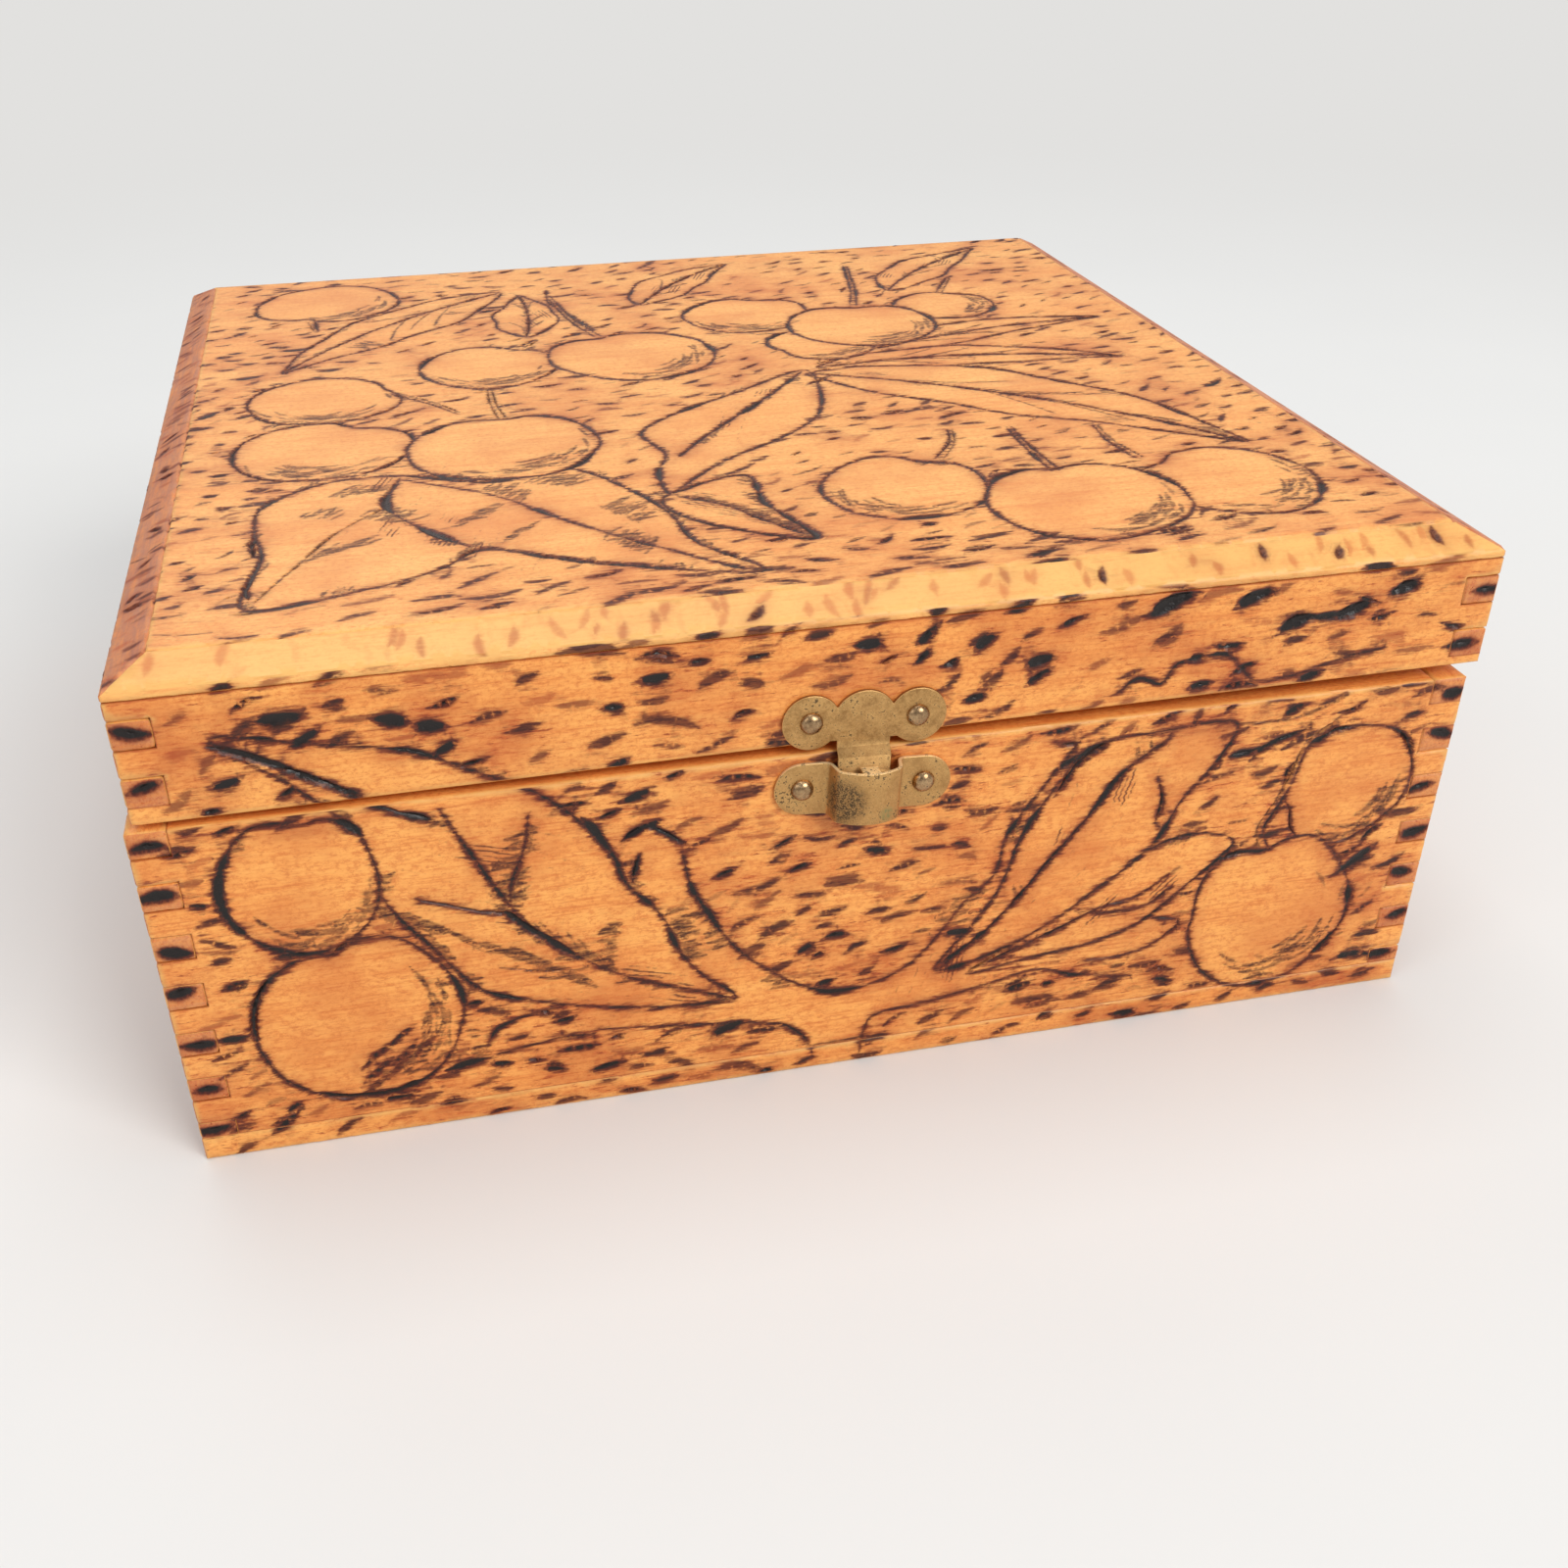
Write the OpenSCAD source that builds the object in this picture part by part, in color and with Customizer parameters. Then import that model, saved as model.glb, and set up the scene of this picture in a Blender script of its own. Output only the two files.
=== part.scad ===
// Keepsake box: a finger-jointed wooden box with a bevelled, hinged lid and a brass snap catch.
// Millimetres. X runs along the front, +Y to the back, +Z up; the origin is the middle of the underside.

/* [Box] */
// Width of the box along its front
box_w = 228; // [180:1:300]
// Depth of the box from front to back
box_d = 228; // [180:1:300]
// Height of the box up to its rim, bottom board included
box_h = 67; // [50:0.5:120]
// Thickness of the front, back and side boards, and of the lid's rails
board_t = 6.4; // [6:0.1:10]
// Thickness of the bottom board, glued on under the four boards
bottom_t = 4.8; // [3:0.1:8]
// Height of one finger of the corner joints
finger_h = 4.9; // [4:0.1:8]

/* [Lid] */
// Height of the lid's rails at the back
rail_h = 21; // [19:0.1:32]
// Height of the lowest finger of the lid's front and back rails, cut short by the saw
first_finger_h = 3.1; // [2.5:0.1:4.5]
// Thickness of the lid's top panel
panel_t = 4.8; // [4.4:0.1:8]
// Width of the bevel round the panel, seen from above
bevel_w = 6.6; // [3:0.1:14]
// How far the bevel falls
bevel_drop = 3.3; // [1.5:0.1:4]
// Gap between the rim and the lid, left by the saw
part_gap = 1.2; // [0.6:0.1:1.5]
// How much higher the lower edge stands at the lid's warped front right corner
lid_lift = 1.4; // [0.1:0.1:2]
// How far the lid sits to the right of the box
lid_shift = 1.5; // [0:0.1:2]

/* [Hinges] */
// Length of each hinge
hinge_l = 25; // [22:0.5:38]
// Distance from the end of the box to the middle of a hinge
hinge_inset = 45; // [30:1:70]
// Thickness of a hinge leaf
leaf_t = 0.8; // [0.7:0.05:1]
// Width of a hinge leaf on the wood
leaf_w = 5.2; // [4.5:0.1:5.8]
// Gap between the two leaves of the closed hinge
leaf_gap = 0.3; // [0.2:0.05:0.4]
// Gap round a leaf in its mortise
mortise_gap = 0.1; // [0.05:0.05:0.3]
// Diameter of the hinge pin
pin_d = 1.6; // [1.2:0.1:2]
// Gap between the pin and its knuckles, all round
pin_gap = 0.05; // [0.02:0.01:0.1]
// Thickness of the pin's two heads
pin_head_t = 0.5; // [0.4:0.1:1]
// Gap between one knuckle and the next
knuckle_gap = 0.3; // [0.2:0.05:0.5]
// Gap between the knuckles and the back of the box
barrel_gap = 0.35; // [0.3:0.05:1]
// Distance between the two nails of a leaf
hinge_nail_spacing = 14; // [10:0.5:16]
// Diameter of a hinge nail
hinge_nail_d = 1.2; // [1:0.1:1.5]
// Diameter of a hinge nail's countersunk head
hinge_nail_head_d = 2.4; // [2:0.1:2.6]
// Length of a hinge nail, head included
hinge_nail_l = 9; // [6:0.5:12]

/* [Hasp] */
// How far the catch sits to the right of the box's middle
catch_x = 3; // [-10:0.1:10]
// Thickness of the brass sheet of the hasp and the keeper
sheet_t = 0.7; // [0.5:0.05:1]
// Height of the hasp's nails above the rim
hasp_rise = 5.7; // [5.5:0.1:9]
// How far the hasp is turned clockwise, as it was nailed on
hasp_turn = 2; // [0:0.5:3]
// Distance between the hasp's two nails
hasp_nail_spacing = 18; // [17:0.1:24]
// Radius of the hasp's two ears
hasp_ear_r = 4.9; // [4:0.1:5.4]
// Radius of the lobe between the ears
crown_r = 5.3; // [4.8:0.1:6.2]
// How far the middle of the lobe lies below the nails
crown_sink = 0.1; // [0:0.1:1]
// How far the plate reaches below the nails, between an ear and the tongue
web_drop = 3.6; // [2:0.1:4.5]
// Width of the springy tongue
tongue_w = 9; // [7:0.1:9.4]
// Length of the tongue below the hasp's nails
tongue_l = 16.2; // [15:0.1:17]
// How far the tongue stands off the box
tongue_off = 1.3; // [1:0.05:1.6]
// How far the bead on the tongue stands out
bead_h = 0.5; // [0.3:0.05:0.6]
// Radius of the bead's round back
bead_r = 1.2; // [1:0.1:2]
// Length of the tongue's tip, which bends back towards the box
tip_bend_l = 1.6; // [1:0.1:2]

/* [Keeper] */
// Distance from the rim down to the keeper's middle
keeper_drop = 6.8; // [6.5:0.1:9]
// How far the keeper is turned clockwise, as it was nailed on
keeper_turn = 3; // [0:0.5:4]
// Height of the keeper
keeper_h = 9.6; // [8:0.1:11]
// Distance between the keeper's two nails
keeper_nail_spacing = 21; // [20:0.1:26]
// Width of the keeper's bridge where it leaves the box
bridge_w = 12.8; // [12.6:0.1:14]
// Width of the front of the bridge
bridge_front_w = 10.8; // [10.6:0.1:12]
// How far the bridge stands out at its corners
bridge_out = 4.6; // [4.4:0.1:7]
// How much further its bowed front stands out in the middle
bridge_bulge = 1.1; // [0.3:0.05:1.5]
// Outer radius of the keeper's bends
bend_r = 1.7; // [1.3:0.1:2]
// Width of the lug that is bent in from the top of the bridge
lug_w = 3.1; // [2:0.1:5]
// Gap that the tongue's bead passes the lug with
snap_gap = 0.3; // [0.2:0.05:0.4]

/* [Catch nails] */
// Diameter of a catch nail
catch_nail_d = 1.4; // [1.2:0.1:2]
// Diameter of a catch nail's domed head
catch_nail_head_d = 4; // [3:0.1:4.6]
// Height of a catch nail's domed head
catch_nail_head_h = 1.3; // [0.8:0.1:1.8]
// Length of a catch nail below its head
catch_nail_l = 6; // [4:0.5:6]
// Gap between a nail and its hole in the brass, all round
nail_gap = 0.05; // [0.02:0.01:0.1]

/* [Hidden] */

$fn = 48;
bend_steps = 5;
over = 1;
least_finger_h = 0.5;

wood = "#cf7f38";
panel_wood = "#d18840";
brass = "#9c8446";
nail_metal = "#857a66";

front_y = -box_d / 2;
back_y = box_d / 2;
lid_z = box_h + part_gap;
panel_z = lid_z + rail_h;

hinge_x = box_w / 2 - hinge_inset;
knuckle_r = pin_d / 2 + pin_gap + leaf_t;
axis_y = back_y + barrel_gap + knuckle_r;
axis_z = box_h + part_gap / 2;
let_in = leaf_t - (part_gap - leaf_gap) / 2;
knuckle_count = 5;
knuckle_l = (hinge_l - (knuckle_count - 1) * knuckle_gap) / knuckle_count;
pin_head_r = knuckle_r - leaf_t / 2;
hinge_nail_y = back_y - leaf_w / 2;

hasp_z = box_h + hasp_rise;
keeper_z = box_h - keeper_drop;
tongue_front = tongue_off + sheet_t;
lug_tip = tongue_front + bead_h + snap_gap;
bead_drop = hasp_rise + keeper_drop - keeper_h / 2 + sheet_t + 2 * bead_h + snap_gap;
wall_lean = atan((bridge_w - bridge_front_w) / 2 / bridge_out);

// Heights [low, high] of the side boards' fingers, counted from the rim down.
box_fingers =
    let (last = floor((box_h - bottom_t - least_finger_h) / (2 * finger_h)))
    [for (i = [last : -1 : 0])
        let (high = box_h - 2 * finger_h * i)
        [max(high - finger_h, bottom_t), high]];

// Heights [low, high] of the lid's side rails' fingers, counted from the sawn edge up.
lid_fingers =
    let (last = floor((rail_h - first_finger_h - least_finger_h) / (2 * finger_h)))
    [for (i = [0 : last])
        let (low = lid_z + first_finger_h + 2 * finger_h * i)
        [low, min(low + finger_h, panel_z)]];

// The heights that a list of fingers leaves free between low and high.
function between(fingers, low, high) =
    let (ends = concat([low], [for (f = fingers) each f], [high]))
    [for (i = [0 : 2 : len(ends) - 1]) if (ends[i + 1] > ends[i]) [ends[i], ends[i + 1]]];

// Points on an arc of radius r round the point c, from angle a to angle b.
function arc(c, r, a, b) = [
    for (i = [0 : bend_steps])
        let (t = a + (b - a) * i / bend_steps)
        c + r * [cos(t), sin(t)]];

function mirrored(points) = [for (p = points) [-p.x, p.y]];
function reversed(points) = [for (i = [len(points) - 1 : -1 : 0]) points[i]];

// ---- Wood ----

// A board along X with its outer face at y = 0 and fingers on both ends.
module jointed_board(length, low, high, fingers) {
    translate([board_t - length / 2, 0, low]) cube([length - 2 * board_t, board_t, high - low]);
    for (f = fingers)
        translate([-length / 2, 0, f[0]]) cube([length, board_t, f[1] - f[0]]);
}

module box_board_across() {
    jointed_board(box_w, bottom_t, box_h, between(box_fingers, bottom_t, box_h));
}

module box_board_along() {
    jointed_board(box_d, bottom_t, box_h, box_fingers);
}

module lid_rail_across() {
    jointed_board(box_w, lid_z, panel_z, between(lid_fingers, lid_z, panel_z));
}

module lid_rail_along() {
    jointed_board(box_d, lid_z, panel_z, lid_fingers);
}

// Children are drawn for the front and carried to one of the four sides.
module to_back() translate([0, back_y, 0]) rotate(180) children();
module to_front() translate([0, front_y, 0]) children();
module to_left() translate([-box_w / 2, 0, 0]) rotate(-90) children();
module to_right() translate([box_w / 2, 0, 0]) rotate(90) children();

// What the warp takes off the lower edge of a rail whose raised end is at +X.
module warp_wedge(length) {
    slope = lid_lift / length;
    translate([0, board_t + over, 0]) rotate([90, 0, 0])
        linear_extrude(board_t + 2 * over)
            polygon([
                [-length / 2 - over, lid_z - slope * over],
                [length / 2 + over, lid_z + lid_lift + slope * over],
                [length / 2 + over, lid_z - over],
                [-length / 2 - over, lid_z - over]]);
}

// A panel profile along one side: square lip, bevel, flat top.
module bevel_profile(length) {
    polygon([
        [-length / 2, panel_z],
        [length / 2, panel_z],
        [length / 2, panel_z + panel_t - bevel_drop],
        [length / 2 - bevel_w, panel_z + panel_t],
        [bevel_w - length / 2, panel_z + panel_t],
        [-length / 2, panel_z + panel_t - bevel_drop]]);
}

// Shallow mortises for both hinges, cut in from the back between two heights.
module hinge_mortises(low, high) {
    for (side = [-1, 1])
        translate([side * hinge_x - hinge_l / 2 - mortise_gap, back_y - leaf_w - mortise_gap, low])
            cube([hinge_l + 2 * mortise_gap, leaf_w + mortise_gap + over, high - low]);
}

module box_front_board() {
    color(wood) difference() {
        to_front() box_board_across();
        keeper_nails_at() nail_shank(catch_nail_d, catch_nail_l);
    }
}

module box_back_board() {
    color(wood) difference() {
        to_back() box_board_across();
        hinge_mortises(box_h - let_in, box_h + over);
        for (side = [-1, 1]) box_leaf_nails_at(side) hinge_nail();
    }
}

module box_left_board() color(wood) to_left() box_board_along();
module box_right_board() color(wood) to_right() box_board_along();

module bottom_board() {
    color(wood) translate([-box_w / 2, front_y, 0]) cube([box_w, box_d, bottom_t]);
}

module lid_front_rail() {
    color(wood) difference() {
        translate([lid_shift, 0, 0]) to_front() difference() {
            lid_rail_across();
            warp_wedge(box_w);
        }
        hasp_nails_at() nail_shank(catch_nail_d, catch_nail_l);
    }
}

module lid_back_rail() {
    color(wood) difference() {
        translate([lid_shift, 0, 0]) to_back() lid_rail_across();
        hinge_mortises(lid_z - over, lid_z + let_in);
        for (side = [-1, 1]) lid_leaf_nails_at(side) hinge_nail();
    }
}

module lid_left_rail() color(wood) translate([lid_shift, 0, 0]) to_left() lid_rail_along();

module lid_right_rail() {
    color(wood) translate([lid_shift, 0, 0]) to_right() difference() {
        lid_rail_along();
        mirror([1, 0, 0]) warp_wedge(box_d);
    }
}

module lid_panel() {
    color(panel_wood) translate([lid_shift, 0, 0]) intersection() {
        translate([0, back_y, 0]) rotate([90, 0, 0]) linear_extrude(box_d) bevel_profile(box_w);
        translate([-box_w / 2, 0, 0]) rotate([90, 0, 90]) linear_extrude(box_w) bevel_profile(box_d);
    }
}

// ---- Hinges ----

// One leaf and its knuckles, drawn for the box side round a pin along X at the origin.
module hinge_leaf(first_knuckle) {
    reach = axis_y - back_y;
    difference() {
        union() {
            translate([-hinge_l / 2, -reach - leaf_w, -leaf_gap / 2 - leaf_t]) cube([hinge_l, leaf_w, leaf_t]);
            for (i = [first_knuckle : 2 : knuckle_count - 1])
                translate([i * (knuckle_l + knuckle_gap) - hinge_l / 2, 0, 0]) {
                    rotate([0, 90, 0]) cylinder(r = knuckle_r, h = knuckle_l);
                    translate([0, -reach - leaf_w / 2, -leaf_gap / 2 - leaf_t])
                        cube([knuckle_l, reach + leaf_w / 2, leaf_t]);
                }
        }
        translate([-hinge_l / 2 - over, 0, 0]) rotate([0, 90, 0])
            cylinder(d = pin_d + 2 * pin_gap, h = hinge_l + 2 * over);
        for (end = [-1, 1])
            translate([end * hinge_nail_spacing / 2, hinge_nail_y - axis_y, -leaf_gap / 2]) hinge_nail_hole();
    }
}

module at_hinge(side) translate([side * hinge_x, axis_y, axis_z]) children();

module hinge_box_leaf(side) color(brass) at_hinge(side) hinge_leaf(0);
module hinge_lid_leaf(side) color(brass) at_hinge(side) mirror([0, 0, 1]) hinge_leaf(1);

module hinge_pin(side) {
    color(brass) at_hinge(side) rotate([0, 90, 0]) {
        cylinder(d = pin_d, h = hinge_l, center = true);
        for (end = [0, 1])
            mirror([0, 0, end]) translate([0, 0, hinge_l / 2]) cylinder(r = pin_head_r, h = pin_head_t);
    }
}

// A flush nail that points down, with the top of its head at z = 0.
module hinge_nail() {
    head_t = (hinge_nail_head_d - hinge_nail_d) / 2;
    translate([0, 0, -head_t]) {
        cylinder(d1 = hinge_nail_d, d2 = hinge_nail_head_d, h = head_t);
        nail_shank(hinge_nail_d, hinge_nail_l - head_t);
    }
}

// The countersunk hole for such a nail, with a gap all round.
module hinge_nail_hole() {
    head_t = (hinge_nail_head_d - hinge_nail_d) / 2;
    translate([0, 0, -leaf_t - over]) cylinder(d = hinge_nail_d + 2 * nail_gap, h = leaf_t + 2 * over);
    translate([0, 0, -head_t])
        cylinder(d1 = hinge_nail_d + 2 * nail_gap, d2 = hinge_nail_head_d + 2 * nail_gap, h = head_t);
    cylinder(d = hinge_nail_head_d + 2 * nail_gap, h = over);
}

// A nail's shank and point, below z = 0.
module nail_shank(d, length) {
    translate([0, 0, d - length]) cylinder(d = d, h = length - d);
    translate([0, 0, -length]) cylinder(d1 = 0, d2 = d, h = d);
}

module box_leaf_nails_at(side) {
    for (end = [-1, 1])
        translate([side * hinge_x + end * hinge_nail_spacing / 2, hinge_nail_y, axis_z - leaf_gap / 2])
            children();
}

module lid_leaf_nails_at(side) {
    for (end = [-1, 1])
        translate([side * hinge_x + end * hinge_nail_spacing / 2, hinge_nail_y, axis_z + leaf_gap / 2])
            mirror([0, 0, 1]) children();
}

module hinge_box_nails(side) color(brass) box_leaf_nails_at(side) hinge_nail();
module hinge_lid_nails(side) color(brass) lid_leaf_nails_at(side) hinge_nail();

// ---- Catch ----

// A place on the front of the box, turned clockwise, where +Y still points into the wood.
module on_front(z, turn) translate([catch_x, front_y, z]) rotate([0, turn, 0]) children();

// A flat shape in X and Z, given a thickness out from y = 0 towards the front.
module sheet(thickness) rotate([90, 0, 0]) linear_extrude(thickness) children();

module hasp_nails_at() {
    on_front(hasp_z, hasp_turn)
        for (side = [-1, 1]) translate([side * hasp_nail_spacing / 2, 0, 0]) rotate([90, 0, 0]) children();
}

module keeper_nails_at() {
    on_front(keeper_z, keeper_turn)
        for (side = [-1, 1]) translate([side * keeper_nail_spacing / 2, 0, 0]) rotate([90, 0, 0]) children();
}

module catch_nail_hole() {
    translate([0, 0, -over]) cylinder(d = catch_nail_d + 2 * nail_gap, h = sheet_t + 2 * over);
}

// A round-headed nail that points in at z = 0, with its head on the outside of the sheet.
module catch_nail() {
    head_r = catch_nail_head_d / 2;
    dome_r = (head_r * head_r + catch_nail_head_h * catch_nail_head_h) / (2 * catch_nail_head_h);
    translate([0, 0, sheet_t]) intersection() {
        translate([0, 0, catch_nail_head_h - dome_r]) sphere(r = dome_r);
        cylinder(r = head_r + over, h = catch_nail_head_h + over);
    }
    cylinder(d = catch_nail_d, h = sheet_t);
    nail_shank(catch_nail_d, catch_nail_l - sheet_t);
}

// Two ears, the lobe between them and the web that carries the tongue.
module hasp_outline() {
    for (side = [-1, 1])
        translate([side * hasp_nail_spacing / 2, 0]) circle(r = hasp_ear_r);
    intersection() {
        translate([0, -crown_sink]) circle(r = crown_r);
        translate([-crown_r, 0]) square([2 * crown_r, crown_r]);
    }
    translate([-hasp_nail_spacing / 2, -web_drop]) square([hasp_nail_spacing, web_drop + hasp_ear_r / 3]);
    translate([-tongue_w / 2, -hasp_ear_r]) square([tongue_w, hasp_ear_r]);
}

// The tongue seen from its side: [how far out, height], down the back of the sheet and up its front.
module tongue_profile() {
    off_z = -hasp_ear_r - tongue_off;
    tip = [tongue_off / 2, -tongue_l];
    bend = [tongue_off, tip_bend_l - tongue_l];
    bead_c = [tongue_front + bead_h - bead_r, -bead_drop];
    bead_angle = acos((bead_r - bead_h) / bead_r);
    polygon(concat(
        [[0, -hasp_ear_r], [tongue_off, off_z], bend, tip, tip + [sheet_t, 0], bend + [sheet_t, 0]],
        arc(bead_c, bead_r, -bead_angle, bead_angle),
        [[tongue_front, off_z], [sheet_t, -hasp_ear_r]]));
}

module hasp() {
    color(brass) difference() {
        on_front(hasp_z, hasp_turn) {
            sheet(sheet_t) hasp_outline();
            translate([-tongue_w / 2, 0, 0]) rotate([90, 0, 0]) mirror([1, 0, 0]) rotate([0, -90, 0])
                linear_extrude(tongue_w) tongue_profile();
        }
        hasp_nails_at() catch_nail_hole();
    }
}

module hasp_nails() color(nail_metal) hasp_nails_at() catch_nail();

// One half of the keeper's strap from above, from the ear's end to the middle of the bridge:
// [distance from the middle, how far out], with depth 0 on the outside and sheet_t on the inside.
function strap_half(depth) =
    let (foot_r = bend_r - sheet_t)
    let (foot_out = sheet_t + foot_r)
    let (foot = [(foot_r - foot_out * sin(wall_lean)) / cos(wall_lean) + bridge_w / 2, foot_out])
    let (corner_out = bridge_out - bend_r)
    let (corner = [bridge_w / 2 - (corner_out * sin(wall_lean) + bend_r) / cos(wall_lean), corner_out])
    let (bow_turn = 2 * atan(bridge_bulge / corner.x))
    let (bow = [0, corner_out - corner.x / tan(bow_turn)])
    concat(
        [[keeper_nail_spacing / 2 + keeper_h / 2, sheet_t - depth]],
        arc(foot, foot_r + depth, 270, 180 + wall_lean),
        arc(corner, bend_r - depth, wall_lean, 90 - bow_turn),
        arc(bow, corner.x / sin(bow_turn) + bend_r - depth, 90 - bow_turn, 90));

module strap_plan() {
    outside = strap_half(0);
    inside = strap_half(sheet_t);
    polygon(concat(mirrored(outside), reversed(outside), inside, reversed(mirrored(inside))));
}

// The keeper seen from the front: a strip with round ends.
module keeper_outline() {
    for (side = [-1, 1])
        translate([side * keeper_nail_spacing / 2, 0]) circle(d = keeper_h);
    square([keeper_nail_spacing, keeper_h], center = true);
}

module keeper() {
    lug_l = bridge_out + bridge_bulge - lug_tip - sheet_t / 2;
    color(brass) difference() {
        on_front(keeper_z, keeper_turn) {
            intersection() {
                mirror([0, 1, 0]) linear_extrude(keeper_h + 2 * over, center = true) strap_plan();
                sheet(bridge_out + bridge_bulge + over) keeper_outline();
            }
            translate([-lug_w / 2, -lug_tip - lug_l, keeper_h / 2 - sheet_t]) cube([lug_w, lug_l, sheet_t]);
        }
        keeper_nails_at() catch_nail_hole();
    }
}

module keeper_nails() color(nail_metal) keeper_nails_at() catch_nail();

box_front_board();
box_back_board();
box_left_board();
box_right_board();
bottom_board();
hinge_box_leaf(-1);  // left_hinge_box_leaf
hinge_box_leaf(1);  // right_hinge_box_leaf
hinge_pin(-1);  // left_hinge_pin
hinge_pin(1);  // right_hinge_pin
hinge_box_nails(-1);  // left_hinge_box_nails
hinge_box_nails(1);  // right_hinge_box_nails
keeper();
keeper_nails();
lid_front_rail();
lid_back_rail();
lid_left_rail();
lid_right_rail();
lid_panel();
hinge_lid_leaf(-1);  // left_hinge_lid_leaf
hinge_lid_leaf(1);  // right_hinge_lid_leaf
hinge_lid_nails(-1);  // left_hinge_lid_nails
hinge_lid_nails(1);  // right_hinge_lid_nails
hasp();
hasp_nails();
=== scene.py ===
"""A keepsake box in finger-jointed wood with burnt ornament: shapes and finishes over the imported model."""

import enum
import logging
import math
from dataclasses import dataclass, field
from typing import Optional, Sequence, Union

import bmesh
import bpy
import numpy as np
from mathutils import Matrix, Vector
from mathutils.bvhtree import BVHTree
from mathutils.geometry import delaunay_2d_cdt


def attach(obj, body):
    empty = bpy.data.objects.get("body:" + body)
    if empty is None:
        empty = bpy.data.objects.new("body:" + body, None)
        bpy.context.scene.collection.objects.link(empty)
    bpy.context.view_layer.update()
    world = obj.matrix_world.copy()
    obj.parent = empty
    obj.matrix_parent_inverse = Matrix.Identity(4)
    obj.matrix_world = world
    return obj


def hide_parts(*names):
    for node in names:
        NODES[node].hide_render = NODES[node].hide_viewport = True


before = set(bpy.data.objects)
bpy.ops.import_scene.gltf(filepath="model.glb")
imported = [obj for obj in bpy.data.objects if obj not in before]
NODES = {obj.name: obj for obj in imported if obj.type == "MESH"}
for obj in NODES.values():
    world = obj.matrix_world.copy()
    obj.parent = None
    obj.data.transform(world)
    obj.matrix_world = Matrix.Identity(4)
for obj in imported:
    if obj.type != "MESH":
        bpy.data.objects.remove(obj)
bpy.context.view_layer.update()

log = logging.getLogger("keepsake_box")
MM = 0.001
Point = tuple[float, float]

# The greatest distance in millimetres that the edge and seam attributes tell apart
FAR = 4.0
# The distance in millimetres between the points of a drawn line
STEP = 0.9
# A stroke whose greatest half width in millimetres is less than this counts as fine
FINE = 0.37
# The attributes that a sketch gives, besides the depth
DRAWN = ("burn", "scorching", "hatch", "hatch_phase", "ground", "fine")


class Axis(enum.Enum):
    """The direction in which a board's grain runs."""

    ACROSS = (1.0, 0.0, 0.0)
    ALONG = (0.0, 1.0, 0.0)


class Facing(enum.Enum):
    """What a flat face of a board is to its finish."""

    CARVED = "carved"
    BARE = "bare"
    HIDDEN = "hidden"


# ---------------------------------------------------------------- shader writing


def linear(red: int, green: int, blue: int) -> tuple[float, float, float, float]:
    """Turns a screen colour of 0 to 255 into the linear colour that the shaders take."""
    parts = (c / 255 for c in (red, green, blue))
    return (*(c / 12.92 if c <= 0.04045 else ((c + 0.055) / 1.055) ** 2.4 for c in parts), 1.0)


class Ink:
    """A shader socket that takes part in Python expressions."""

    def __init__(self, recipe: "Recipe", socket: Optional[bpy.types.NodeSocket]) -> None:
        self.recipe = recipe
        self.socket = socket

    def _math(self, operation: str, first: object, second: object) -> "Ink":
        """Adds one Math node."""
        return self.recipe.node("ShaderNodeMath", {"operation": operation}, {0: first, 1: second})

    def __add__(self, other: object) -> "Ink":
        """Adds a number or a value."""
        return self._math("ADD", self, other)

    __radd__ = __add__

    def __sub__(self, other: object) -> "Ink":
        """Takes a number or a value away."""
        return self._math("SUBTRACT", self, other)

    def __rsub__(self, other: object) -> "Ink":
        """Is taken away from a number."""
        return self._math("SUBTRACT", other, self)

    def __mul__(self, other: object) -> "Ink":
        """Multiplies by a number or a value."""
        return self._math("MULTIPLY", self, other)

    __rmul__ = __mul__

    def most(self, other: object) -> "Ink":
        """The larger of two values."""
        return self._math("MAXIMUM", self, other)

    def rise(self, low: float, high: float) -> "Ink":
        """A smooth step from 0 at low to 1 at high, where low may be the larger of the two."""
        if low > high:
            return 1 - self.rise(high, low)
        values = {"Value": self, "From Min": low, "From Max": high}
        return self.recipe.node("ShaderNodeMapRange", {"interpolation_type": "SMOOTHSTEP"}, values)


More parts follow.
